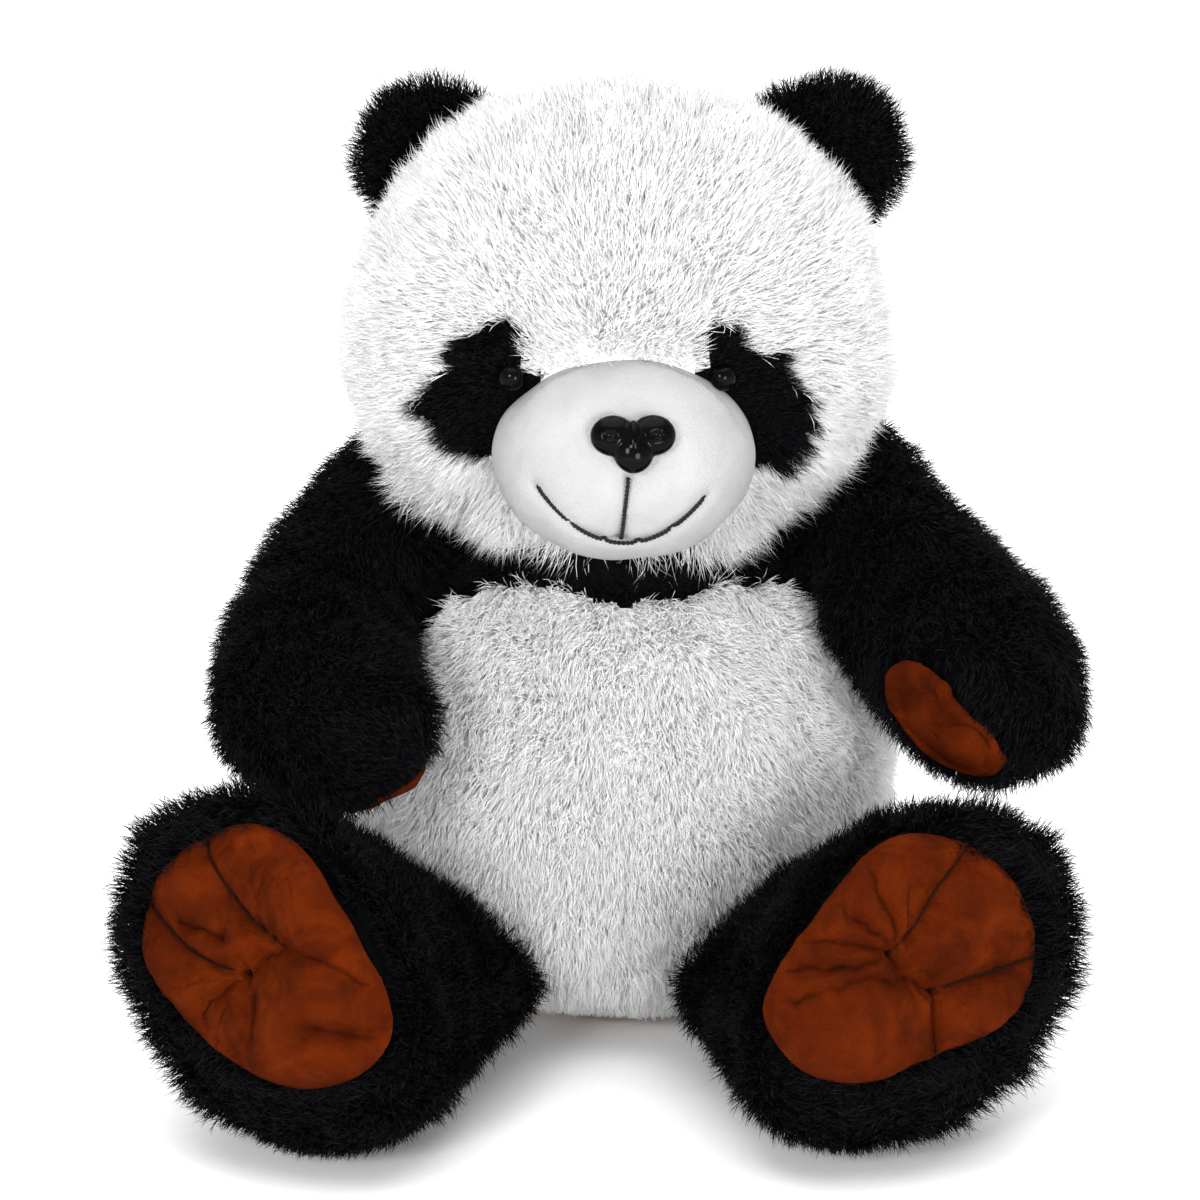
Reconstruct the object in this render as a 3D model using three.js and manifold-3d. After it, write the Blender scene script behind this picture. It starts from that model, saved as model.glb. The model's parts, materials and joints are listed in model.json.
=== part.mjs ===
// A seated plush panda, made as the real one is sewn: pile cloth panels round loose filling, a short-pile
// muzzle and paw pads, and a plastic nose and eyes held from inside by washers.
// Millimetres, +Z up. The panda looks along -Y, and left and right are its own.
// The origin is the middle of the flat underside that it sits on.
import * as THREE from "three";
import { mergeVertices } from "three/addons/utils/BufferGeometryUtils.js";
import Module from "manifold-3d";

const wasm = await Module();
wasm.setup();

// ---- Driving dimensions -------------------------------------------------------------------------------

const PILE_CLOTH = 6; // long-pile panel: backing cloth and the dense lower half of its pile
const SHORT_CLOTH = 2.5; // short-pile panel of the muzzle
const SEAM = 0.3; // gap between two panels that are sewn edge to edge
const FREE = 2.2; // gap between two parts that move against each other
const LOOSE = 3; // gap between the cloth and its loose filling
const FAR = 400; // longer than anything here, for half-space cutters
const PUNCH = 60; // deeper than any pad

// Segments round and rings along the soft shapes.
const FINE = [20, 11];
const LIMB_DETAIL = [14, 10];
const MUZZLE_DETAIL = [16, 10];
const COARSE = [12, 8];

const HEAD = { centre: vec(0, -10, 234), radii: vec(85, 75, 76) };
const MUZZLE = { centre: vec(2, -70, 203), radii: vec(41, 37, 33) };
const NECK = { pivot: vec(0, -10, 165), radius: 22, nodBack: 12 };

const EYE = { across: 33, up: 227, dome: 5, bulge: 4, shank: 2, shankLength: 15, washer: 6 };
const EYE_PATCH = { across: 46, up: 224, long: 26, short: 18, lean: 32 };
const NOSE = {
  across: 4.5,
  up: 212.5,
  width: 25,
  height: 17,
  depth: 5,
  round: 1.6,
  shank: 2.5,
  shankLength: 17,
  washer: 8,
};
const SMILE = { middle: 1, reach: 26, low: 180, rise: 16, lean: 1.5 };
const MOUTH_LINE = { top: 203, bottom: 183, middle: 1, lean: 2.2 };
const WASHER_THICK = 1.9;
const EYE_WASHER_AT = -PILE_CLOTH - 3.8; // heights along the shanks, from the cloth's outside
const NOSE_WASHER_AT = -SHORT_CLOTH - 5;
const EAR = { shift: 3.5, across: 64, back: 4, up: 284, long: 24, tall: 29, thick: 14 };

const TORSO = {
  spine: [vec(0, 4, -8), vec(0, 0, 40), vec(0, 0, 100), vec(0, 0, 184)],
  widths: [72, 88, 93, 90, 80, 64],
  depths: [60, 72, 77, 75, 68, 54],
  belly: 8, // height of the seam round the seat
  yoke: 152, // height of the seam under the black chest band
};
const POUCH_TOP = 30;
const TAIL = { centre: vec(0, 74, 40), radii: vec(17, 14, 15) };

// An arm's spine runs from its root in the armhole to the tip of its paw, and a leg's from hip to sole.
const ARM_RIGHT = {
  spine: [vec(-54, 16, 173), vec(-77, -4, 159), vec(-93, -32, 135), vec(-92, -72, 120), vec(-66, -102, 124)],
  pivot: vec(-60, 12, 168),
  palm: vec(0.5, -0.1, -0.86),
};
const ARM_LEFT = {
  spine: [vec(54, 16, 181), vec(77, -4, 170), vec(97, -32, 152), vec(109, -68, 137), vec(113, -105, 127)],
  pivot: vec(60, 12, 176),
  palm: vec(-0.5, -0.6, -0.62),
};
const ARM = { widths: [29, 31, 33, 35, 35, 34], depths: [29, 31, 33, 34, 33, 32], open: 30 };
const PAW_PAD = { long: 24, short: 15 };

// A sole's pad and its two rows of toe stitches are placed across and up the sole, from its middle.
const LEG_RIGHT = {
  root: vec(-38, -22, 21),
  sole: vec(-112, -148, 57),
  toes: vec(-0.58, 0, 0.81),
  pad: vec(9, 5, -16),
  rows: [
    [vec(20, 6, 0), vec(11, 43, 0)],
    [vec(2, 4, 0), vec(-14, 33, 0)],
  ],
};
const LEG_LEFT = {
  root: vec(36, -22, 21),
  sole: vec(97, -148, 57),
  toes: vec(0.64, 0, 0.77),
  pad: vec(-11, 2, -16),
  rows: [
    [vec(-22, 0, 0), vec(-15, 38, 0)],
    [vec(-4, -6, 0), vec(16, 22, 0)],
  ],
};
const LEG = { widths: [26, 29, 35, 46, 54], heights: [22, 26, 37, 54, 62], hip: 22, spread: 12, close: 4 };
const SOLE_PAD = { long: 41, short: 37 };
const THREAD = 0.7; // half the thickness of the stitching
const GROOVE = THREAD + SEAM;

// ---- Materials -----------------------------------------------------------------------------------------

const material = (color, roughness) => new THREE.MeshStandardMaterial({ color, roughness, metalness: 0 });
const WHITE_PILE = material(0xf0efec, 0.95);
const BLACK_PILE = material(0x0b0b0c, 0.95);
const MUZZLE_CLOTH = material(0xe9e8e6, 0.85);
const BROWN_CLOTH = material(0x8a3c10, 0.9);
const GLOSS_BLACK = material(0x060606, 0.12);
const WASHER_PLASTIC = material(0xd8d8d4, 0.5);
const BLACK_THREAD = material(0x101010, 0.7);
const FILLING = material(0xf7f7f5, 1.0);
const POUCH_CLOTH = material(0xb9b3a6, 0.9);

// ---- Helpers -------------------------------------------------------------------------------------------

function vec(x, y, z) {
  return new THREE.Vector3(x, y, z);
}

// The matrix that turns something about an axis through a pivot.
function turned(pivot, axis, degrees) {
  const move = new THREE.Matrix4().makeTranslation(pivot.x, pivot.y, pivot.z);
  move.multiply(new THREE.Matrix4().makeRotationAxis(axis, THREE.MathUtils.degToRad(degrees)));
  return move.multiply(new THREE.Matrix4().makeTranslation(-pivot.x, -pivot.y, -pivot.z));
}

// A closed three.js geometry as a manifold-3d solid with its faces out.
function toSolid(geometry) {
  const bare = geometry.clone();
  bare.deleteAttribute("normal");
  bare.deleteAttribute("uv");
  const merged = mergeVertices(bare, 1e-4);
  const triVerts = new Uint32Array(merged.index.array);
  const vertProperties = new Float32Array(merged.attributes.position.array);
  const solid = new wasm.Manifold(new wasm.Mesh({ numProp: 3, vertProperties, triVerts }));
  if (solid.volume() > 0) return solid;
  for (let i = 0; i < triVerts.length; i += 3) {
    [triVerts[i + 1], triVerts[i + 2]] = [triVerts[i + 2], triVerts[i + 1]];
  }
  return new wasm.Manifold(new wasm.Mesh({ numProp: 3, vertProperties, triVerts }));
}

function toGeometry(solid) {
  const mesh = solid.getMesh();
  const geometry = new THREE.BufferGeometry();
  geometry.setAttribute("position", new THREE.BufferAttribute(mesh.vertProperties, 3));
  geometry.setIndex(new THREE.BufferAttribute(mesh.triVerts, 1));
  return geometry;
}

const toy = new THREE.Group();

function addSolid(name, solid, look, parent = toy) {
  const mesh = new THREE.Mesh(toGeometry(largestBody(solid)), look);
  mesh.name = name;
  parent.add(mesh);
  return mesh;
}

// Cutting a thin panel can leave a crumb beside it, and the panel is the largest body.
function largestBody(solid) {
  return solid.decompose().reduce((best, body) => (body.volume() > best.volume() ? body : best));
}

function ellipsoid({ centre, radii }, grow = 0, detail = FINE) {
  const sphere = new THREE.SphereGeometry(1, ...detail);
  sphere.rotateX(Math.PI / 2);
  sphere.scale(radii.x + grow, radii.y + grow, radii.z + grow);
  sphere.translate(centre.x, centre.y, centre.z);
  return toSolid(sphere);
}

// Everything on the side of a plane that its normal points to.
function beyond(point, normal) {
  const box = new THREE.BoxGeometry(2 * FAR, 2 * FAR, FAR);
  box.translate(0, 0, FAR / 2);
  return toSolid(box.applyMatrix4(facing(point, normal)));
}

// The matrix that stands a shape made along +Z at a point, pointing along a direction.
function facing(point, direction, lean = 0) {
  const turn = new THREE.Quaternion().setFromUnitVectors(vec(0, 0, 1), direction.clone().normalize());
  turn.multiply(new THREE.Quaternion().setFromAxisAngle(vec(0, 0, 1), lean));
  return new THREE.Matrix4().compose(point, turn, vec(1, 1, 1));
}

// The matrix whose Z points along a direction and whose Y lies as near as it can to up.
function standing(point, direction, up) {
  const z = direction.clone().normalize();
  const x = up.clone().cross(z).normalize();
  const y = z.clone().cross(x);
  return new THREE.Matrix4().makeBasis(x, y, z).setPosition(point);
}

function along(values, share) {
  const curve = new THREE.SplineCurve(values.map((value, i) => new THREE.Vector2(i, value)));
  return curve.getPoint(THREE.MathUtils.clamp(share, 0, 1)).y;
}

// A soft closed shape: a sphere's rings laid along a spine, with half sizes given along it.
// An end with a small blunt value is flat, and one with 1 is round.
function softShape({ spine, widths, depths, up, blunt }, grow = 0, detail = LIMB_DETAIL) {
  const curve = new THREE.CatmullRomCurve3(spine);
  const length = curve.getLength();
  const sphere = new THREE.SphereGeometry(1, ...detail);
  const place = sphere.attributes.position;
  const point = vec(0, 0, 0);
  for (let i = 0; i < place.count; i += 1) {
    point.fromBufferAttribute(place, i);
    const power = point.y > 0 ? blunt[0] : blunt[1];
    const spread = Math.hypot(point.x, point.z);
    const share = 0.5 - 0.5 * Math.sign(point.y) * Math.abs(point.y) ** power;
    const ring = spread < 1e-6 ? 0 : spread ** power / spread;
    const reach = THREE.MathUtils.lerp(-grow, length + grow, share);
    const inside = THREE.MathUtils.clamp(reach / length, 0, 1);
    const tangent = curve.getTangentAt(inside);
    const side = tangent.clone().cross(up).normalize();
    const lift = side.clone().cross(tangent);
    const centre = curve.getPointAt(inside).addScaledVector(tangent, reach - inside * length);
    centre.addScaledVector(side, point.x * ring * (along(widths, share) + grow));
    centre.addScaledVector(lift, point.z * ring * (along(depths, share) + grow));
    place.setXYZ(i, centre.x, centre.y, centre.z);
  }
  return toSolid(sphere);
}

function oval(long, short) {
  const shape = new THREE.Shape();
  shape.absellipse(0, 0, short, long, 0, 2 * Math.PI);
  return shape;
}

// An oval punch along a direction, from a point to its length.
function punch(long, short, length, matrix) {
  const options = { depth: length, bevelEnabled: false, curveSegments: 14 };
  return toSolid(new THREE.ExtrudeGeometry(oval(long, short), options).applyMatrix4(matrix));
}

function rod(radius, length, matrix) {
  return punch(radius, radius, length, matrix);
}

// A stitched thread through points, or with a larger radius the groove that it lies in.
function thread(points, radius = THREAD) {
  const section = new THREE.Shape().absellipse(0, 0, radius, radius, 0, 2 * Math.PI);
  const path = new THREE.CatmullRomCurve3(points);
  const steps = points.length * 2;
  return toSolid(
    new THREE.ExtrudeGeometry(section, { steps, extrudePath: path, bevelEnabled: false, curveSegments: 3 }),
  );
}

const ABOVE_FLOOR = beyond(vec(0, 0, 0), vec(0, 0, 1));
const ON_RIGHT = beyond(vec(-SEAM / 2, 0, 0), vec(-1, 0, 0));
const ON_LEFT = beyond(vec(SEAM / 2, 0, 0), vec(1, 0, 0));
const SIDES = [
  { name: "right", sign: -1, half: ON_RIGHT },
  { name: "left", sign: 1, half: ON_LEFT },
];

// ---- Head ----------------------------------------------------------------------------------------------

const headShape = (grow, detail = FINE) => ellipsoid(HEAD, grow, detail);
const muzzleShape = (grow) => ellipsoid(MUZZLE, grow, MUZZLE_DETAIL);
const neckBall = (grow) => {
  const radii = vec(NECK.radius, NECK.radius, NECK.radius);
  return ellipsoid({ centre: NECK.pivot, radii }, grow, COARSE);
};

// The room that the head needs as it turns and nods back: round in plan, at rest and nodded.
function headRoom(grow) {
  const around = Math.max(HEAD.radii.x, HEAD.radii.y);
  const round = ellipsoid({ centre: HEAD.centre, radii: vec(around, around, HEAD.radii.z) }, grow, FINE);
  return round.add(round.transform(turned(NECK.pivot, vec(1, 0, 0), -NECK.nodBack).elements));
}

// The place on the front of the head's or muzzle's outside that is over a point of the front view.
function onFront({ centre, radii }, x, z, grow = 0) {
  const side = (x - centre.x) / (radii.x + grow);
  const rise = (z - centre.z) / (radii.z + grow);
  const y = centre.y - (radii.y + grow) * Math.sqrt(Math.max(0, 1 - side * side - rise * rise));
  return vec(x, y, z);
}

function outwards({ centre, radii }, point) {
  const away = point.clone().sub(centre);
  return away.divide(radii.clone().multiply(radii)).normalize();
}

function eyeMatrix(sign) {
  const point = onFront(HEAD, sign * EYE.across, EYE.up, SEAM);
  return facing(point, outwards(HEAD, point));
}

function patchPunch(sign, grow) {
  const point = onFront(HEAD, sign * EYE_PATCH.across, EYE_PATCH.up);
  const out = outwards(HEAD, point);
  const start = point.clone().addScaledVector(out, -3 * PILE_CLOTH);
  const lean = THREE.MathUtils.degToRad(EYE_PATCH.lean);
  const up = vec(-sign * Math.sin(lean), 0, Math.cos(lean));
  return punch(EYE_PATCH.long + grow, EYE_PATCH.short + grow, 6 * PILE_CLOTH, standing(start, out, up));
}

// The rooms in the cloth and filling for an eye's dome, shank and washer.
function eyeRooms(sign) {
  const room = (radius, from, to) => {
    const start = new THREE.Matrix4().makeTranslation(0, 0, from);
    return rod(radius + SEAM, to - from, eyeMatrix(sign).multiply(start));
  };
  const dome = room(EYE.dome, -SEAM, 3 * EYE.bulge);
  const shank = room(EYE.shank, -EYE.shankLength - 1, 1);
  return dome.add(shank).add(room(EYE.washer, EYE_WASHER_AT - SEAM, EYE_WASHER_AT + WASHER_THICK + SEAM));
}

const EYE_ROOMS = SIDES.map(({ sign }) => eyeRooms(sign));
const withoutEyes = (solid) => EYE_ROOMS.reduce((rest, room) => rest.subtract(room), solid);

function addHead() {
  const eyes = SIDES.map(({ sign }) => eyeMatrix(sign));

  let cloth = headShape(0).subtract(headShape(-PILE_CLOTH));
  cloth = withoutEyes(cloth.subtract(neckBall(FREE)).subtract(muzzleShape(SEAM)));
  const ridge = vec(0, HEAD.centre.y + 8, 0);
  const front = cloth.intersect(beyond(ridge, vec(0, -1, 0)));
  const rear = cloth.intersect(beyond(ridge.clone().add(vec(0, SEAM, 0)), vec(0, 1, 0)));
  SIDES.forEach(({ name, sign, half }) => {
    const panel = front.intersect(half);
    addSolid(`face_${name}`, panel.subtract(patchPunch(sign, SEAM)), WHITE_PILE);
    addSolid(`eye_patch_${name}`, panel.intersect(patchPunch(sign, 0)), BLACK_PILE);
    addSolid(`head_back_${name}`, rear.intersect(half), WHITE_PILE);
  });

  const filling = headShape(-PILE_CLOTH - LOOSE, COARSE).subtract(neckBall(FREE));
  addSolid("head_filling", withoutEyes(filling), FILLING);
  SIDES.forEach(({ name }, i) => addEye(name, eyes[i]));
}

function addEye(name, at) {
  const { dome, bulge, shank, shankLength, washer } = EYE;
  const profile = [new THREE.Vector2(0, -shankLength), new THREE.Vector2(shank, -shankLength)];
  for (let ridge = -shankLength + 2; ridge < -PILE_CLOTH - 5; ridge += 2) {
    profile.push(new THREE.Vector2(shank, ridge), new THREE.Vector2(shank - 0.4, ridge + 1));
  }
  profile.push(new THREE.Vector2(shank, 0), new THREE.Vector2(dome, 0));
  const steps = 5;
  for (let i = 1; i <= steps; i += 1) {
    const angle = (i / steps) * (Math.PI / 2);
    profile.push(new THREE.Vector2(dome * Math.cos(angle), 0.6 + bulge * Math.sin(angle)));
  }
  profile[profile.length - 1].x = 0;
  addLathe(`eye_${name}`, profile, 14, at, GLOSS_BLACK);
  addWasher(`eye_washer_${name}`, washer, shank, at, EYE_WASHER_AT);
}

function addLathe(name, profile, segments, at, look) {
  const shape = new THREE.LatheGeometry(profile, segments).rotateX(Math.PI / 2);
  const mesh = new THREE.Mesh(toGeometry(toSolid(shape)), look);
  mesh.name = name;
  mesh.applyMatrix4(at);
  toy.add(mesh);
}

// A cupped lock washer pushed onto a shank behind the cloth.
function addWasher(name, radius, shank, at, height) {
  const bore = shank + 0.15;
  const profile = [
    [bore, 0],
    [radius, 0],
    [radius, WASHER_THICK * 0.6],
    [radius - 2, WASHER_THICK],
    [bore, WASHER_THICK],
    [bore, 0],
  ].map(([x, y]) => new THREE.Vector2(x, y + height));
  addLathe(name, profile, 14, at, WASHER_PLASTIC);
}

// ---- Muzzle, nose and mouth ----------------------------------------------------------------------------

function noseOutline() {
  const w = NOSE.width / 2;
  const h = NOSE.height / 2;
  const shape = new THREE.Shape();
  shape.moveTo(0, h * 0.8);
  shape.bezierCurveTo(w * 0.3, h * 1.15, w, h * 1.15, w, h * 0.3);
  shape.bezierCurveTo(w, -h * 0.3, w * 0.62, -h * 0.15, w * 0.5, -h * 0.5);
  shape.bezierCurveTo(w * 0.4, -h * 1.15, -w * 0.4, -h * 1.15, -w * 0.5, -h * 0.5);
  shape.bezierCurveTo(-w * 0.62, -h * 0.15, -w, -h * 0.3, -w, h * 0.3);
  shape.bezierCurveTo(-w, h * 1.15, -w * 0.3, h * 1.15, 0, h * 0.8);
  return shape;
}

function onMuzzle(x, z) {
  return onFront(MUZZLE, x, z, SEAM);
}

function smilePoints() {
  return [-1, -0.75, -0.5, -0.25, 0, 0.25, 0.5, 0.75, 1].map((share) => {
    const { middle, reach, low, rise, lean } = SMILE;
    return onMuzzle(middle + reach * share, low + rise * share * share - lean * share);
  });
}

function mouthLinePoints() {
  const { top, bottom, middle, lean } = MOUTH_LINE;
  return [0, 0.25, 0.5, 0.75, 1].map((share) => {
    return onMuzzle(middle + lean * share, THREE.MathUtils.lerp(bottom, top, share));
  });
}

function addMuzzle() {
  const nosePoint = onFront(MUZZLE, NOSE.across, NOSE.up);
  const out = outwards(MUZZLE, nosePoint);
  const at = standing(nosePoint, out, vec(0, 0, 1));
  const inward = (depth) => at.clone().multiply(new THREE.Matrix4().makeTranslation(0, 0, -depth));
  const shankHole = rod(NOSE.shank + SEAM, NOSE.shankLength + 4, inward(NOSE.shankLength + 1));
  const washerRoom = rod(NOSE.washer + SEAM, WASHER_THICK + 2 * SEAM, inward(SEAM - NOSE_WASHER_AT));
  const grooves = thread(smilePoints(), GROOVE).add(thread(mouthLinePoints(), GROOVE));

  const shell = muzzleShape(0).subtract(muzzleShape(-SHORT_CLOTH)).subtract(headShape(-PILE_CLOTH));
  const cloth = withoutEyes(shell).subtract(grooves);
  SIDES.forEach(({ name, half }) => {
    addSolid(`muzzle_${name}`, cloth.intersect(half).subtract(shankHole), MUZZLE_CLOTH);
  });
  const inner = muzzleShape(-SHORT_CLOTH - LOOSE).subtract(headShape(-PILE_CLOTH));
  addSolid("muzzle_filling", withoutEyes(inner.subtract(shankHole).subtract(washerRoom)), FILLING);
  addSolid("smile_thread", thread(smilePoints()), BLACK_THREAD);
  addSolid("mouth_line_thread", thread(mouthLinePoints()), BLACK_THREAD);

  const bevel = NOSE.round;
  const button = new THREE.ExtrudeGeometry(noseOutline(), {
    depth: NOSE.depth,
    bevelThickness: bevel,
    bevelSize: bevel,
    bevelOffset: -bevel,
    bevelSegments: 2,
    curveSegments: 4,
  });
  const nose = toSolid(button.applyMatrix4(inward(0.5))).subtract(muzzleShape(SEAM));
  addSolid("nose", nose.add(rod(NOSE.shank, NOSE.shankLength + 2, inward(NOSE.shankLength))), GLOSS_BLACK);
  addWasher("nose_washer", NOSE.washer, NOSE.shank, at, NOSE_WASHER_AT);
}

// ---- Ears ----------------------------------------------------------------------------------------------

function addEars() {
  SIDES.forEach(({ name, sign }) => {
    const centre = vec(sign * EAR.across + EAR.shift, EAR.back, EAR.up);
    const away = vec(sign * 0.79, 0, 0.61);
    const disc = new THREE.SphereGeometry(1, ...LIMB_DETAIL).scale(EAR.long, EAR.tall, EAR.thick / 2);
    const whole = toSolid(disc.applyMatrix4(standing(centre, vec(0, -1, 0), away)));
    const ear = whole.subtract(headShape(FREE + 0.6));
    addSolid(`ear_front_${name}`, ear.intersect(beyond(centre, vec(0, -1, 0))), BLACK_PILE);
    const behind = centre.clone().add(vec(0, SEAM, 0));
    addSolid(`ear_back_${name}`, ear.intersect(beyond(behind, vec(0, 1, 0))), BLACK_PILE);
  });
}

// ---- Limbs ---------------------------------------------------------------------------------------------

function armForm({ spine }) {
  return { spine, widths: ARM.widths, depths: ARM.depths, up: vec(0, 0.25, 1), blunt: [0.8, 0.7] };
}

function legForm({ root, sole, toes }) {
  return { spine: [root, sole], widths: LEG.widths, depths: LEG.heights, up: toes, blunt: [0.9, 0.42] };
}

// Cuts a limb's two cloth halves and its filling, with a pad let into the cloth.
function addLimb(prefix, side, form, seam, pad, clear) {
  const outer = clear(softShape(form));
  const inner = clear(softShape(form, -PILE_CLOTH), PILE_CLOTH);
  const cloth = outer.subtract(inner);
  const furry = cloth.subtract(pad(SEAM));
  const behind = seam.point.clone().addScaledVector(seam.normal, -SEAM);
  const outerHalf = beyond(seam.point, seam.normal);
  const innerHalf = beyond(behind, seam.normal.clone().negate());
  const filling = softShape(form, -PILE_CLOTH - LOOSE, COARSE);
  addSolid(`${prefix}_outer_${side}`, furry.intersect(outerHalf), BLACK_PILE);
  addSolid(`${prefix}_inner_${side}`, furry.intersect(innerHalf), BLACK_PILE);
  addSolid(`${prefix}_pad_${side}`, cloth.intersect(pad(0)), BROWN_CLOTH);
  addSolid(`${prefix}_filling_${side}`, clear(filling, PILE_CLOTH + SEAM), FILLING);
}

function addArm(side, limb) {
  const form = armForm(limb);
  const curve = new THREE.CatmullRomCurve3(limb.spine);
  const middle = curve.getPointAt(0.84);
  const palm = limb.palm.clone().normalize();
  const padAt = standing(middle.clone().addScaledVector(palm, 4), palm, curve.getTangentAt(0.8));
  const pad = (grow) => punch(PAW_PAD.long + grow, PAW_PAD.short + grow, PUNCH, padAt);
  const outward = vec(Math.sign(limb.pivot.x), 0.5, 0).normalize();
  const seam = { point: curve.getPointAt(0.5), normal: outward };
  addLimb("arm", side, form, seam, pad, (shape, inset = 0) => shape.subtract(headRoom(FREE + inset)));
}

function addLeg(side, limb) {
  const form = legForm(limb);
  const axis = limb.sole.clone().sub(limb.root).normalize();
  const rows = toeRows(form, limb, standing(limb.root, axis, limb.toes));
  const grooves = rows.map((points) => thread(points, GROOVE));
  const padAt = standing(limb.sole, axis, limb.toes).multiply(new THREE.Matrix4().setPosition(limb.pad));
  const pad = (grow) => {
    const whole = punch(SOLE_PAD.long + grow, SOLE_PAD.short + grow, PUNCH, padAt);
    return grow > 0 ? whole : grooves.reduce((rest, groove) => rest.subtract(groove), whole);
  };
  const outward = vec(Math.sign(limb.root.x), 0, 0.45).normalize();
  const seam = { point: limb.root.clone().lerp(limb.sole, 0.5), normal: outward };
  const clear = (shape, inset = 0) => shape.intersect(beyond(vec(0, 0, inset), vec(0, 0, 1)));
  addLimb("leg", side, form, seam, pad, clear);
  rows.forEach((points, i) => addSolid(`toe_thread_${side}_${i + 1}`, thread(points), BLACK_THREAD));
}

// The rows of stitches that draw three toes into the sole, laid on its curve.
function toeRows(form, limb, at) {
  const length = limb.sole.distanceTo(limb.root);
  const [width, height] = [LEG.widths.at(-1), LEG.heights.at(-1)];
  const onSole = (spot) => {
    const spread = Math.hypot(spot.x / width, spot.y / height);
    const power = 2 / form.blunt[1];
    const share = 0.5 + 0.5 * (1 - spread ** power) ** (1 / power);
    return vec(spot.x, spot.y, length * share).applyMatrix4(at);
  };
  const shares = [0, 0.25, 0.5, 0.75, 1];
  return limb.rows.map(([from, to]) => shares.map((share) => onSole(from.clone().lerp(to, share))));
}

// ---- Torso ---------------------------------------------------------------------------------------------

const torsoForm = {
  spine: TORSO.spine,
  widths: TORSO.widths,
  depths: TORSO.depths,
  up: vec(0, -1, 0),
  blunt: [0.75, 0.9],
};

// What a limb sweeps about its pivot, for the hole that the torso leaves it.
function sweep(form, pivot, axis, angles, grow) {
  const shape = softShape(form, grow);
  return angles.map((angle) => shape.transform(turned(pivot, axis, angle).elements));
}

function hipPivot({ root, sole }) {
  return root.clone().addScaledVector(sole.clone().sub(root).normalize(), LEG.hip);
}

function limbSweeps(grow) {
  const armAxis = (sign) => vec(-0.5, 0, sign).normalize();
  return [
    ...sweep(armForm(ARM_RIGHT), ARM_RIGHT.pivot, armAxis(-1), [0, ARM.open], grow),
    ...sweep(armForm(ARM_LEFT), ARM_LEFT.pivot, armAxis(1), [0, ARM.open], grow),
    ...sweep(legForm(LEG_RIGHT), hipPivot(LEG_RIGHT), vec(0, 0, -1), [-LEG.close, LEG.spread], grow),
    ...sweep(legForm(LEG_LEFT), hipPivot(LEG_LEFT), vec(0, 0, 1), [-LEG.close, LEG.spread], grow),
  ];
}

function addTorso() {
  const openings = [headRoom(FREE), neckBall(FREE), ...limbSweeps(FREE)].reduce((all, one) => all.add(one));
  const outer = softShape(torsoForm, 0, FINE).intersect(ABOVE_FLOOR);
  const lid = (height) => beyond(vec(0, 0, height), vec(0, 0, 1));
  const inner = softShape(torsoForm, -PILE_CLOTH, FINE).intersect(lid(PILE_CLOTH));
  const cloth = outer.subtract(inner).subtract(openings);

  const belowBelly = beyond(vec(0, 0, TORSO.belly), vec(0, 0, -1));
  const belowYoke = beyond(vec(0, 0, TORSO.yoke), vec(0, 0, -1));
  const front = beyond(vec(0, 0, 0), vec(0, -1, 0));
  const rear = beyond(vec(0, SEAM, 0), vec(0, 1, 0));
  addSolid("seat_panel", cloth.intersect(belowBelly), WHITE_PILE);
  const sides = cloth.intersect(lid(TORSO.belly + SEAM)).intersect(belowYoke);
  const yoke = cloth.intersect(lid(TORSO.yoke + SEAM));
  SIDES.forEach(({ name, half }) => {
    addSolid(`belly_${name}`, sides.intersect(front).intersect(half), WHITE_PILE);
    addSolid(`back_${name}`, sides.intersect(rear).intersect(half), WHITE_PILE);
  });
  addSolid("chest_band", yoke.intersect(front), BLACK_PILE);
  addSolid("nape_band", yoke.intersect(rear), BLACK_PILE);

  const space = softShape(torsoForm, -PILE_CLOTH - LOOSE, COARSE).intersect(lid(PILE_CLOTH + SEAM));
  const filling = space.subtract(openings);
  addSolid("torso_filling", filling.intersect(lid(POUCH_TOP + SEAM)), FILLING);
  addSolid("pellet_pouch", filling.intersect(beyond(vec(0, 0, POUCH_TOP), vec(0, 0, -1))), POUCH_CLOTH);
  addSolid("neck_filling", neckBall(0), FILLING);

  addSolid("tail", ellipsoid(TAIL, 0, COARSE).subtract(softShape(torsoForm, SEAM, FINE)), WHITE_PILE);
}

addHead();
addMuzzle();
addEars();
addTorso();
addArm("right", ARM_RIGHT);
addArm("left", ARM_LEFT);
addLeg("right", LEG_RIGHT);
addLeg("left", LEG_LEFT);

export default toy;
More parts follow.
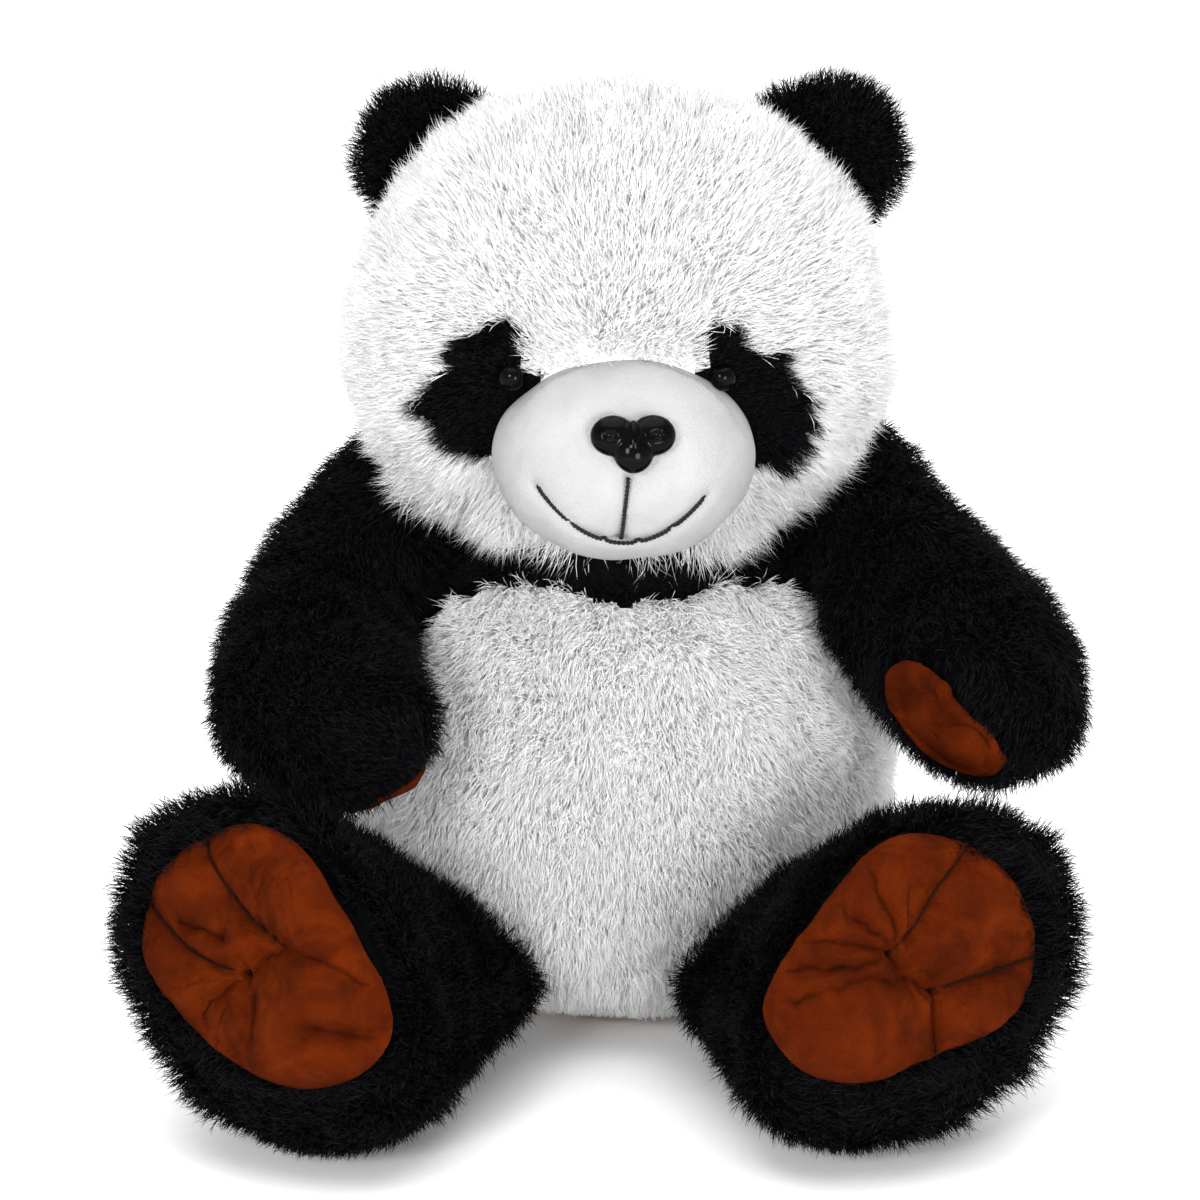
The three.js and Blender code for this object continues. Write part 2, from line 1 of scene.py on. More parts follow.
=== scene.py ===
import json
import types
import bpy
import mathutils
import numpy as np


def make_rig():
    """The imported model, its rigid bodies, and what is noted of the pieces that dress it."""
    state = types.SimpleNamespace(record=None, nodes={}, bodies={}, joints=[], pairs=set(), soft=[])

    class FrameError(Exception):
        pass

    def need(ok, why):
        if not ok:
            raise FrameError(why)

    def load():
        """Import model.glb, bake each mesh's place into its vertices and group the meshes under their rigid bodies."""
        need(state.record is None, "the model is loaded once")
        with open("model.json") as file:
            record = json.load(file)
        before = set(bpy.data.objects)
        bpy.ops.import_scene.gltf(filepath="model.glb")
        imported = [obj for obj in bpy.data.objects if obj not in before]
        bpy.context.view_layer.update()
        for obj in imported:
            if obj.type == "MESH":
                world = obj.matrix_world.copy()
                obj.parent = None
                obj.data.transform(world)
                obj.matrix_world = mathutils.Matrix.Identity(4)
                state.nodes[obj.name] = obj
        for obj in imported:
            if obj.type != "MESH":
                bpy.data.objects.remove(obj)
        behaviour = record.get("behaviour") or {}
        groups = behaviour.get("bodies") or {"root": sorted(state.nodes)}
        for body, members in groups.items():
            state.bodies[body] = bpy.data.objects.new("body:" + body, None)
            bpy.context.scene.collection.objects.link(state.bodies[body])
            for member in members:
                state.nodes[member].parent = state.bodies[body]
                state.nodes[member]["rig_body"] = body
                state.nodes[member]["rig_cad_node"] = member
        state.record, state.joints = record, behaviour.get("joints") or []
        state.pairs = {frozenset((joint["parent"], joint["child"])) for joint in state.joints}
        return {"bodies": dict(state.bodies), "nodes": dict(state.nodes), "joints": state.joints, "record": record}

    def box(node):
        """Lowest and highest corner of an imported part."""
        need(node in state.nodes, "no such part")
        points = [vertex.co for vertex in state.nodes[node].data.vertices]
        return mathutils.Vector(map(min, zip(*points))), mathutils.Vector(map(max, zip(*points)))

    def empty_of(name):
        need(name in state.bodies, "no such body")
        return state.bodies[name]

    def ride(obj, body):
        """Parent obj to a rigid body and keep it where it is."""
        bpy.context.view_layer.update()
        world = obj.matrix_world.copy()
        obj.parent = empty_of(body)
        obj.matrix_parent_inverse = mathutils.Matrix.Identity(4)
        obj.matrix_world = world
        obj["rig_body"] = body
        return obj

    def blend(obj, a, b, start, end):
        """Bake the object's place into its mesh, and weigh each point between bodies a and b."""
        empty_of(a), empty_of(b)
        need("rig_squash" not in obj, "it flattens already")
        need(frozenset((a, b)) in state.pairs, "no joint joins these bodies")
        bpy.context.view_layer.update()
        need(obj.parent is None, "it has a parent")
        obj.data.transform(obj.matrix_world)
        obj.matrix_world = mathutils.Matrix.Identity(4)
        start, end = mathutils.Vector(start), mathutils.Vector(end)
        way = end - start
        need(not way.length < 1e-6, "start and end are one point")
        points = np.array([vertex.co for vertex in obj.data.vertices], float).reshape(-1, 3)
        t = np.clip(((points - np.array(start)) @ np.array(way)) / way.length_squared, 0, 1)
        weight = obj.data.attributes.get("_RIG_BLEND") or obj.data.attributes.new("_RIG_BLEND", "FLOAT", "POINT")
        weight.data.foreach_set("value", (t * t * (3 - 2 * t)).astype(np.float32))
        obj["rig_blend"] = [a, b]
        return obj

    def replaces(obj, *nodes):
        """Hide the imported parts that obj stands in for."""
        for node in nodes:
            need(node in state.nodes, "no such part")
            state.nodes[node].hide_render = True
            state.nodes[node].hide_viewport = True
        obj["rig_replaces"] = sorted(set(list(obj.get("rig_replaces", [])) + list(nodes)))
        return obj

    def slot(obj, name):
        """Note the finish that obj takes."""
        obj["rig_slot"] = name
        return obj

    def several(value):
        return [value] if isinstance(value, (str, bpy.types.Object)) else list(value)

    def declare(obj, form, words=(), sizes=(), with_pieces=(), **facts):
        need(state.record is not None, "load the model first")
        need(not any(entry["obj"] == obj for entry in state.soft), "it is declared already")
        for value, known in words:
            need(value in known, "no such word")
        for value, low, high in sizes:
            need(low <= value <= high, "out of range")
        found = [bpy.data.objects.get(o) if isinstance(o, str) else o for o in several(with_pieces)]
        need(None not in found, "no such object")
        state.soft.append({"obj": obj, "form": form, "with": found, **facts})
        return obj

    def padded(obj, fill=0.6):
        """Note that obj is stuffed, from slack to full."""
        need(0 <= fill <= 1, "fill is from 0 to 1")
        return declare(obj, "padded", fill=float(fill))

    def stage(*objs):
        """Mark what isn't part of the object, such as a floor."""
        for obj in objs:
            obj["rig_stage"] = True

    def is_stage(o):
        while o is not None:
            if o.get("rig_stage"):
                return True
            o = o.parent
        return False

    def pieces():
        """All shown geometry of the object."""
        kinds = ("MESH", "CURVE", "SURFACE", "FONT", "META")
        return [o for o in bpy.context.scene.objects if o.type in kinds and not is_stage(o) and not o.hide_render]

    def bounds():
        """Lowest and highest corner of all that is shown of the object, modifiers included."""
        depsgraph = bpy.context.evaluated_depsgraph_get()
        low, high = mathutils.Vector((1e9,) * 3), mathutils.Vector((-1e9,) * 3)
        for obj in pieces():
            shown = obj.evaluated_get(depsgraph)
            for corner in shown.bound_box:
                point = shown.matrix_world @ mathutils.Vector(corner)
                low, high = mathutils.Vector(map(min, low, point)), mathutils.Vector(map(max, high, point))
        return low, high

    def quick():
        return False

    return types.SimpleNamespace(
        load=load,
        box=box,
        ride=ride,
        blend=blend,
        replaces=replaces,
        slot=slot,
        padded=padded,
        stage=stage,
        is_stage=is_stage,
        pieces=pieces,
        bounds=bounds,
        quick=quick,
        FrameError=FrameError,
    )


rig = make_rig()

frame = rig.load()

import math

import bpy
import numpy as np
from mathutils import Matrix, Vector
from mathutils.bvhtree import BVHTree

cad_low, cad_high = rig.bounds()
scene = bpy.context.scene
MM = 0.001

# ---- Where things are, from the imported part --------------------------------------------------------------


def node_box(*nodes):
    """The lowest and highest corners of several CAD nodes together, in millimetres."""
    boxes = [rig.box(node) for node in nodes]
    low = np.min([np.array(b[0]) for b in boxes], 0) / MM
    high = np.max([np.array(b[1]) for b in boxes], 0) / MM
    return low, high


HEAD_LOW, HEAD_HIGH = node_box("face_left", "face_right", "head_back_left", "head_back_right")
HEAD_RADII = np.array([85.0, 75.0, 76.0])
HEAD_CENTRE = np.array([0.0, (HEAD_LOW[1] + HEAD_HIGH[1]) / 2, HEAD_HIGH[2] - HEAD_RADII[2]])
MUZZLE_LOW, MUZZLE_HIGH = node_box("muzzle_left", "muzzle_right")
MUZZLE_RADII = np.array([41.0, 37.0, 33.0])
MUZZLE_CENTRE = np.array(
    [(MUZZLE_LOW[0] + MUZZLE_HIGH[0]) / 2, MUZZLE_LOW[1] + MUZZLE_RADII[1],
     (MUZZLE_LOW[2] + MUZZLE_HIGH[2]) / 2]
)
TORSO = dict(
    spine=[(0, 4, -8), (0, 0, 40), (0, 0, 100), (0, 0, 184)],
    widths=[72, 88, 93, 90, 80, 64],
    depths=[60, 72, 77, 75, 68, 54],
    up=(0, -1, 0),
    blunt=(0.75, 0.9),
)
YOKE = node_box("chest_band")[0][2]
ARM_PROFILE = dict(
    widths=[31, 28.5, 29, 33.5, 36, 36], depths=[31, 29, 30, 33, 35, 33], up=(0, 0.25, 1), blunt=(0.8, 0.7)
)
ARMS = {
    "right": dict(
        spine=[(-51, 17, 199), (-67, 8, 178), (-80, -7, 158), (-93, -33, 135), (-92, -72, 121),
               (-62, -104, 125)],
        palm=(0.35, 0.25, -0.9), pad_shift=(0, 2, -2), pad_long=None,
    ),
    "left": dict(
        spine=[(51, 17, 205), (64, 9, 187), (78, -6, 166), (96.5, -33, 145.5), (113.5, -69, 130),
               (120, -107, 120)],
        palm=(-0.5, -0.6, -0.62), pad_shift=(-7, -1, 8), pad_long=(0.8, -0.3, -0.5),
    ),
}
LEG_PROFILE = dict(widths=[26, 29, 35, 46, 54], depths=[22, 26, 37, 54, 62], blunt=(0.9, 0.42))
LEGS = {
    "right": dict(
        root=(-38, -22, 21), sole=(-115, -148, 59), toes=(-0.58, 0, 0.81), middle=(9, 3),
        outline=[(8.4, 46.2), (24.8, 42.3), (36.6, 28), (41.5, 9), (43.5, -10), (44.5, -24), (41, -36),
                 (26, -43),
                 (10.6, -40.7), (-0.3, -33.7), (-9.5, -22.9), (-17, -12), (-23, 2), (-27.8, 15.4), (-27, 26),
                 (-20, 37), (-10.7, 44)],
        rows=[[(8.4, 45), (7.8, 37.6), (10.9, 26.3), (14.9, 14.6), (20.9, 2.2)],
              [(-19, 35), (-14.9, 26.4), (-10, 16.2), (-2.3, 6.9), (5.7, 0.7)]],
        folds=[([(20.9, 2.2), (5.7, 0.7)], 3.2, 5.0), ([(5.7, 0.7), (-2.8, -1.7), (-13, -4.1)], 2.2, 3.2),
               ([(5.7, 0.7), (6.4, -7.7), (1.2, -18)], 3.2, 4.0), ([(21.9, 1.7), (31.5, -7.8), (40, -19)],
                                                                   1.2, 3.4),
               ([(-8, 24), (4, 13)], 0.9, 2.4), ([(22, -24), (34, -33)], 0.8, 3.0)],
        dimple=(14, 1.5),
    ),
    "left": dict(
        root=(36, -22, 21), sole=(100, -148, 59), toes=(0.64, 0, 0.77), middle=(-12, -3),
        outline=[(-36.3, 31), (-26.6, 36.5), (-11.4, 40), (1.7, 39.5), (12.5, 33), (20.6, 26), (25, 14),
                 (24.6, 2),
                 (18.3, -9), (10.1, -18), (1.7, -28), (-4.6, -37.8), (-14.7, -45), (-25.4, -48), (-34, -46),
                 (-43.8, -42.5), (-48.9, -36), (-49.5, -25), (-48, -12), (-46.5, 0.3), (-44.8, 11.6),
                 (-41.5, 22.7)],
        rows=[[(-16.1, 37.8), (-19.7, 21.8), (-20.7, 6.8), (-21.8, -2.9)],
              [(20.4, 22.0), (13.3, 14), (2.9, 3.2), (-4.5, -5.2)]],
        folds=[([(-21.8, -2.9), (-13.9, -7), (-4.5, -6)], 4.6, 5.0), ([(-4.6, -6.7), (-0.5, -12),
                                                                       (6.1, -20)], 3.4, 3.6),
               ([(-21.8, -2.9), (-33.8, -8), (-46, -14)], 1.6, 2.6), ([(-23.8, -1), (-35.7, -1.8),
                                                                       (-45, 0.5)], 1.7, 2.4),
               ([(-23, 1), (-34, 8), (-42, 16)], 1.2, 2.6), ([(-13.9, -7), (-27.5, -16), (-40, -31)],
                                                             1.2, 3.4),
               ([(-21.8, -2.9), (-29, -12), (-46, -24)], 0.9, 2.6)],
        dimple=(-17, -4),
    ),
}
PAW_LONG, PAW_SHORT = 24.0, 15.0

# ---- Materials -------------------------------------------------------------------------------------------


def set_inputs(node, values):
    for name, value in values.items():
        node.inputs[name].default_value = value


def plain_material(name, color, roughness, specular, glow=0.0):
    """One even tone; glow is how much of the light spreads through the fibre."""
    material = bpy.data.materials.new(name)
    material.use_nodes = True
    set_inputs(material.node_tree.nodes["Principled BSDF"], {
        "Base Color": (*color, 1), "Roughness": roughness, "Specular IOR Level": specular,
        "Subsurface Weight": glow, "Subsurface Radius": (1, 1, 1), "Subsurface Scale": 0.0008,
    })
    material.diffuse_color = (*color, 1)
    return material


class Nodes:
    """A short way to build one material's node tree."""

    def __init__(self, name, roughness=0.8, sheen=0.0, specular=0.3, coat=0.0):
        self.material = bpy.data.materials.new(name)
        self.material.use_nodes = True
        self.tree = self.material.node_tree
        self.shader = self.tree.nodes["Principled BSDF"]
        set_inputs(self.shader, {
            "Roughness": roughness, "Sheen Weight": sheen, "Specular IOR Level": specular,
            "Coat Weight": coat,
        })
        self.position = self.add("ShaderNodeTexCoord").outputs["Object"]

    def add(self, kind, **values):
        node = self.tree.nodes.new(kind)
        for key, value in values.items():
            setattr(node, key, value)
        return node

    def link(self, source, target):
        self.tree.links.new(source, target)

    def noise(self, scale, detail=4.0, rough=0.55, distortion=0.0):
        node = self.add("ShaderNodeTexNoise")
        set_inputs(node, {"Scale": scale, "Detail": detail, "Roughness": rough, "Distortion": distortion})
        self.link(self.position, node.inputs["Vector"])
        return node.outputs["Fac"]

    def cells(self, scale):
        node = self.add("ShaderNodeTexVoronoi")
        set_inputs(node, {"Scale": scale})
        self.link(self.position, node.inputs["Vector"])
        return node.outputs["Distance"]

    def ramp(self, fac, stops):
        node = self.add("ShaderNodeValToRGB")
        elements = node.color_ramp.elements
        while len(elements) < len(stops):
            elements.new(0.5)
        for element, (at, color) in zip(elements, stops):
            element.position = at
            element.color = (*color, 1)
        self.link(fac, node.inputs["Fac"])
        return node.outputs["Color"]

    def mix(self, a, b, fac, blend="MIX"):
        node = self.add("ShaderNodeMix", data_type="RGBA", blend_type=blend)
        if isinstance(fac, float):
            node.inputs["Factor"].default_value = fac
        else:
            self.link(fac, node.inputs["Factor"])
        self.link(a, node.inputs["A"])
        self.link(b, node.inputs["B"])
        return node.outputs["Result"]

    def span(self, fac, low, high):
        node = self.add("ShaderNodeMapRange")
        set_inputs(node, {"To Min": low, "To Max": high})
        self.link(fac, node.inputs["Value"])
        return node.outputs["Result"]

    def bump(self, heights, strength=0.5):
        """Each height is (socket, distance in metres)."""
        last = None
        for height, distance in heights:
            node = self.add("ShaderNodeBump")
            set_inputs(node, {"Strength": strength, "Distance": distance})
            self.link(height, node.inputs["Height"])
            if last:
                self.link(last, node.inputs["Normal"])
            last = node.outputs["Normal"]
        self.link(last, self.shader.inputs["Normal"])

    def color(self, socket):
        self.link(socket, self.shader.inputs["Base Color"])

    def rough(self, socket):
        self.link(socket, self.shader.inputs["Roughness"])


def pile_backing(name, dark, light):
    """The dense lower pile under the long strands."""
    n = Nodes(name, roughness=1.0, specular=0.0)
    tufts = n.cells(420.0)
    streaks = n.noise(260.0, 6.0, 0.7)
    patches = n.noise(28.0, 3.0)
    base = n.ramp(tufts, [(0.05, dark), (0.7, light)])
    shade = n.ramp(patches, [(0.3, tuple(0.82 * c for c in light)), (0.7, light)])
    n.color(n.mix(base, shade, 0.4))
    n.bump([(tufts, 0.0012), (streaks, 0.0006)], 0.8)
    return n.material


def velour(name, deep, mid, light):
    """Short dense pile that shows where it was brushed, with painted shade darkening its concave creases."""
    n = Nodes(name, roughness=0.95, specular=0.03)
    nap = n.noise(55.0, 5.0, 0.6, 0.6)
    fine = n.noise(1500.0, 3.0, 0.7)
    fleck = n.cells(1300.0)
    brushed = n.ramp(nap, [(0.34, deep), (0.5, mid), (0.68, light)])
    flecks = n.ramp(fleck, [(0.0, deep), (0.55, mid)])
    # Painted shade: where the mesh is concave (low pointiness) the colour is multiplied darker, standing in for the
    # shade that falls in creases.
    pointiness = n.add("ShaderNodeNewGeometry").outputs["Pointiness"]
    painted_crease_shade = n.ramp(pointiness, [(0.43, (0.08, 0.08, 0.08)), (0.495, (1, 1, 1))])
    n.color(n.mix(n.mix(brushed, flecks, 0.3), painted_crease_shade, 0.9, "MULTIPLY"))
    n.rough(n.span(fine, 0.8, 0.97))
    n.bump([(fleck, 0.00035), (fine, 0.0003), (nap, 0.0006)], 0.6)
    return n.material


def moulded_plastic(name, color, low, high, coat, specular):
    n = Nodes(name, specular=specular, coat=coat)
    set_inputs(n.shader, {"Coat Roughness": 0.04})
    smear = n.noise(120.0, 4.0, 0.5)
    pits = n.noise(900.0, 2.0)
    n.color(n.ramp(smear, [(0.3, color), (0.7, tuple(min(1.0, c * 2.5) for c in color))]))
    n.rough(n.span(smear, low, high))
    n.bump([(pits, 0.00006)], 0.3)
    return n.material


def thread_material(name, dark, light):
    n = Nodes(name, roughness=0.8, specular=0.08)
    ply = n.noise(2600.0, 3.0, 0.6)
    n.color(n.ramp(ply, [(0.35, dark), (0.7, light)]))
    n.bump([(ply, 0.0002)], 0.5)
    return n.material


def woven(name, dark, light, scale):
    n = Nodes(name, roughness=0.92, sheen=0.1, specular=0.2)
    warp = n.add("ShaderNodeTexWave", wave_type="BANDS", bands_direction="X")
    weft = n.add("ShaderNodeTexWave", wave_type="BANDS", bands_direction="Y")
    for wave in (warp, weft):
        set_inputs(wave, {"Scale": scale, "Distortion": 1.2})
        n.link(n.position, wave.inputs["Vector"])
    cross = n.mix(warp.outputs["Color"], weft.outputs["Color"], 0.5, "MULTIPLY")
    n.color(n.ramp(cross, [(0.1, dark), (0.8, light)]))
    n.bump([(cross, 0.0003)], 0.7)
    return n.material


WHITE_TONES = [(0.97, 0.97, 0.97), (0.96, 0.96, 0.96), (0.93, 0.93, 0.93)]
BLACK_TONES = [(0.005, 0.005, 0.006), (0.003, 0.003, 0.004), (0.009, 0.009, 0.010)]
WHITE_FUR = [
    plain_material("white_pile_tips", WHITE_TONES[0], 0.8, 0.2, 0.7),
    plain_material("white_pile_middle", WHITE_TONES[1], 0.9, 0.15, 0.7),
    plain_material("white_pile_roots", WHITE_TONES[2], 0.95, 0.1, 0.7),
]
BLACK_FUR = [
    plain_material("black_pile_tips", BLACK_TONES[0], 0.7, 0.05),
    plain_material("black_pile_roots", BLACK_TONES[1], 0.9, 0.03),
    plain_material("black_pile_glints", BLACK_TONES[2], 0.6, 0.09),
]
WHITE_BACKING = pile_backing("white_pile_backing", (0.72, 0.72, 0.72), (0.82, 0.82, 0.82))
BLACK_BACKING = pile_backing("black_pile_backing", (0.001, 0.001, 0.001), (0.003, 0.003, 0.003))
MUZZLE_MATERIAL = velour(
    "muzzle_short_pile", (0.335, 0.335, 0.335), (0.365, 0.365, 0.365), (0.39, 0.39, 0.39)
)
BROWN_VELOUR = velour(
    "brown_velour", (0.026, 0.0032, 0.0002), (0.056, 0.0066, 0.0003), (0.098, 0.0128, 0.0006)
)
GLOSS_BLACK = moulded_plastic("nose_plastic", (0.001, 0.001, 0.001), 0.05, 0.1, 0.0, 0.06)
WASHER_PLASTIC = moulded_plastic("washer_plastic", (0.62, 0.62, 0.6), 0.35, 0.55, 0.0, 0.5)
THREAD = thread_material("black_thread", (0.006, 0.006, 0.006), (0.03, 0.03, 0.03))
BROWN_THREAD = thread_material("toe_thread", (0.004, 0.002, 0.001), (0.014, 0.005, 0.002))
POUCH_CLOTH = woven("pouch_weave", (0.3, 0.27, 0.21), (0.52, 0.48, 0.4), 700.0)
SEAT_CLOTH = woven("seat_weave", (0.28, 0.21, 0.16), (0.55, 0.45, 0.37), 900.0)

# ---- Soft shapes -----------------------------------------------------------------------------------------


def centripetal(points, count=400):
    """Points along a centripetal Catmull-Rom curve, evenly spaced, as the CAD's spines are."""
    p = [np.array(q, float) for q in points]
    p = [2 * p[0] - p[1], *p, 2 * p[-1] - p[-2]]
    found = []
    for a, b, c, d in zip(p, p[1:], p[2:], p[3:]):
        t0, t1, t2 = (max(np.linalg.norm(y - x) ** 0.5, 1e-6) for x, y in ((a, b), (b, c), (c, d)))
        m1 = ((b - a) / t0 - (c - a) / (t0 + t1) + (c - b) / t1) * t1
        m2 = ((c - b) / t1 - (d - b) / (t1 + t2) + (d - c) / t2) * t1
        for t in np.linspace(0, 1, 60, endpoint=False):
            found.append(
                (2 * t**3 - 3 * t**2 + 1) * b + (t**3 - 2 * t**2 + t) * m1
                + (-2 * t**3 + 3 * t**2) * c + (t**3 - t**2) * m2
            )
    found.append(p[-2])
    found = np.array(found)
    steps = np.r_[0, np.cumsum(np.linalg.norm(np.diff(found, axis=0), axis=1))]
    even = np.linspace(0, steps[-1], count)
    line = np.stack([np.interp(even, steps, found[:, i]) for i in range(3)], 1)
    return line, steps[-1]


def profile(values, share):
    """A uniform Catmull-Rom curve through evenly spaced values."""
    v = np.array(values, float)
    last = len(v) - 1
    at = np.clip(share, 0, 1) * last
    i = np.minimum(at.astype(int), last - 1)
    t = at - i
    a, b, c, d = (v[np.clip(i + k, 0, last)] for k in (-1, 0, 1, 2))
    m1, m2 = (c - a) / 2, (d - b) / 2
    return (2 * b - 2 * c + m1 + m2) * t**3 + (-3 * b + 3 * c - 2 * m1 - m2) * t**2 + m1 * t + b


def sphere_grid(segments, rings):
    """A closed sphere of unit size: points by ring, and quads and triangles."""
    theta = np.linspace(0, math.pi, rings + 1)[1:-1]
    phi = np.linspace(0, 2 * math.pi, segments, endpoint=False)
    body = np.stack(
        [np.outer(np.sin(theta), -np.cos(phi)), np.outer(np.cos(theta), np.ones(segments)),
         np.outer(np.sin(theta), np.sin(phi))], -1
    ).reshape(-1, 3)
    points = np.vstack([[0, 1, 0], body, [0, -1, 0]])
    faces = []
    for s in range(segments):
        n = (s + 1) % segments
        faces.append((0, 1 + s, 1 + n))
        for r in range(rings - 2):
            a = 1 + r * segments
            faces.append((a + s, a + segments + s, a + segments + n, a + n))
        a = 1 + (rings - 2) * segments
        faces.append((a + s, len(points) - 1, a + n))
    return points, faces


def new_object(name, points, faces, materials=()):
    mesh = bpy.data.meshes.new(name)
    mesh.from_pydata([tuple(p) for p in np.asarray(points) * MM], [], [tuple(f) for f in faces])
    mesh.update()
    obj = bpy.data.objects.new(name, mesh)
    scene.collection.objects.link(obj)
    cover(obj, *materials)
    return obj


def cover(obj, *materials):
    for material in materials:
        obj.data.materials.append(material)


def face_outwards(obj):
    """Turns the faces round if they enclose a negative volume."""
    mesh = obj.data
    mesh.calc_loop_triangles()
    co, tris = coordinates(obj), triangles(obj)
    a, b, c = co[tris[:, 0]], co[tris[:, 1]], co[tris[:, 2]]
    if np.einsum("ij,ij->", a, np.cross(b, c)) < 0:
        mesh.flip_normals()
    return obj


def coordinates(obj):
    co = np.empty(len(obj.data.vertices) * 3)
    obj.data.vertices.foreach_get("co", co)
    return co.reshape(-1, 3) / MM


def set_coordinates(obj, co):
    obj.data.vertices.foreach_set("co", (np.asarray(co) * MM).ravel())
    obj.data.update()


def raise_above(obj, height):
    """Lifts the points that lie under a height, in millimetres, up to it."""
    co = coordinates(obj)
    co[:, 2] = np.maximum(co[:, 2], height)
    set_coordinates(obj, co)


def triangles(obj):
    obj.data.calc_loop_triangles()
    tris = np.empty(len(obj.data.loop_triangles) * 3, int)
    obj.data.loop_triangles.foreach_get("vertices", tris)
    return tris.reshape(-1, 3)


def soft_shape(name, form, grow, segments=56, rings=48):
    """The CAD's soft shape: a sphere's rings laid along a spine."""
    line, length = centripetal(form["spine"])
    tangents = np.gradient(line, axis=0)
    tangents /= np.linalg.norm(tangents, axis=1, keepdims=True)
    points, faces = sphere_grid(segments, rings)
    power = np.where(points[:, 1] > 0, *form["blunt"])
    spread = np.hypot(points[:, 0], points[:, 2])
    share = 0.5 - 0.5 * np.sign(points[:, 1]) * np.abs(points[:, 1]) ** power
    ring = np.where(spread < 1e-6, 0, np.maximum(spread, 1e-9) ** (power - 1))
    reach = -grow + share * (length + 2 * grow)
    inside = np.clip(reach / length, 0, 1)
    index = inside * (len(line) - 1)
    low = np.minimum(index.astype(int), len(line) - 2)
    part = (index - low)[:, None]
    centre = line[low] * (1 - part) + line[low + 1] * part
    tangent = tangents[low] * (1 - part) + tangents[low + 1] * part
    tangent /= np.linalg.norm(tangent, axis=1, keepdims=True)
    side = np.cross(tangent, np.array(form["up"], float))
    side /= np.linalg.norm(side, axis=1, keepdims=True)
    lift = np.cross(side, tangent)
    centre = centre + tangent * (reach - inside * length)[:, None]
    centre += side * (points[:, 0] * ring * (profile(form["widths"], share) + grow))[:, None]
    centre += lift * (points[:, 2] * ring * (profile(form["depths"], share) + grow))[:, None]
    return face_outwards(new_object(name, centre, faces))


def ellipsoid(name, centre, radii, grow=0.0, segments=64, rings=44):
    points, faces = sphere_grid(segments, rings)
    return face_outwards(
        new_object(name, points[:, [0, 2, 1]] * (np.asarray(radii) + grow) + centre, faces)
    )


def apply_modifiers(obj):
    bpy.context.view_layer.update()
    evaluated = obj.evaluated_get(bpy.context.evaluated_depsgraph_get())
    mesh = bpy.data.meshes.new_from_object(evaluated)
    old = obj.data
    obj.modifiers.clear()
    obj.data = mesh
    mesh.name = obj.name
    bpy.data.meshes.remove(old)
    return obj


def remesh(obj, voxel, smooth=4):
    modifier = obj.modifiers.new("Remesh", "REMESH")
    modifier.mode = "VOXEL"
    modifier.voxel_size = voxel * MM
    if smooth:
        modifier = obj.modifiers.new("Smooth", "SMOOTH")
        modifier.factor = 0.5
        modifier.iterations = smooth
    return apply_modifiers(obj)


def subdivide(obj):
    modifier = obj.modifiers.new("Subdivision", "SUBSURF")
    modifier.levels = modifier.render_levels = 1
    return apply_modifiers(obj)


def smooth_shaded(obj):
    obj.data.polygons.foreach_set("use_smooth", [True] * len(obj.data.polygons))
    obj.data.update()
    return obj


WAVES = 7  # How many random waves a ripple adds up.


def ripple(points, size, seed):
    """Smooth random waves over space, about -1 to 1, with features of a size in millimetres."""
    rng = np.random.default_rng(seed)
    k = rng.normal(size=(WAVES, 3))
    k /= np.linalg.norm(k, axis=1, keepdims=True)
    k *= (2 * math.pi / size) * rng.uniform(0.6, 1.5, (WAVES, 1))
    return np.sin(points @ k.T + rng.uniform(0, 2 * math.pi, WAVES)).sum(1) / math.sqrt(WAVES)


def swell(obj, amount, size, seed):
    """Uneven filling: moves each point along its normal by a smooth random amount."""
    co = coordinates(obj)
    normals = vertex_normals(obj)
    set_coordinates(obj, co + normals * (amount * ripple(co, size, seed))[:, None])
    return obj


HEAD_ROOM = [
    (HEAD_CENTRE, np.array([86.0, 81.0, 77.0])),
    (HEAD_CENTRE + np.array([0, 14.3, -1.5]), np.array([86.0, 77.0, 77.0])),
]


def clear_the_head(points, grow=0.0):
    """Moves points out of the room that the head turns and nods in."""
    points = points.copy()
    for centre, radii in HEAD_ROOM:
        share = np.linalg.norm((points - centre) / (radii + grow), axis=1)
        push = np.where((share < 1) & (share > 0.5), 1 / np.maximum(share, 0.5), 1.0)
        points = centre + (points - centre) * push[:, None]
    return points


def vertex_normals(obj):
    normals = np.empty(len(obj.data.vertices) * 3)
    obj.data.vertices.foreach_get("normal", normals)
    return normals.reshape(-1, 3)


def inflate(obj, cap, pressure=4.0, pins=None, shrink=0.0, frames=20):
    """Cloth pressure pushes the cover out from its filling, up to a cap in millimetres."""
    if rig.quick():
        return obj
    start = coordinates(obj)
    cloth = obj.modifiers.new("Cloth", "CLOTH")
    settings = cloth.settings
    settings.quality = 6
    settings.mass = 0.25
    settings.tension_stiffness = settings.compression_stiffness = 18
    settings.bending_stiffness = 0.4
    settings.use_pressure = True
    settings.uniform_pressure_force = pressure
    settings.effector_weights.gravity = 0
    settings.shrink_min = shrink
    cloth.collision_settings.use_collision = False
    if pins is not None:
        group = obj.vertex_groups.new(name="held")
        for weight in np.unique(np.round(pins, 2)):
            if weight > 0:
                chosen = np.nonzero(np.round(pins, 2) == weight)[0].tolist()
                group.add(chosen, float(weight), "REPLACE")
        settings.vertex_group_mass = "held"
    cloth.point_cache.frame_start = 1
    cloth.point_cache.frame_end = frames
    for number in range(1, frames + 1):
        scene.frame_set(number)
    apply_modifiers(obj)
    scene.frame_set(1)
    moved = coordinates(obj) - start
    length = np.linalg.norm(moved, axis=1, keepdims=True)
    set_coordinates(obj, start + moved * np.minimum(1, cap / np.maximum(length, 1e-9)))
    return obj


# ---- Pile ------------------------------------------------------------------------------------------------

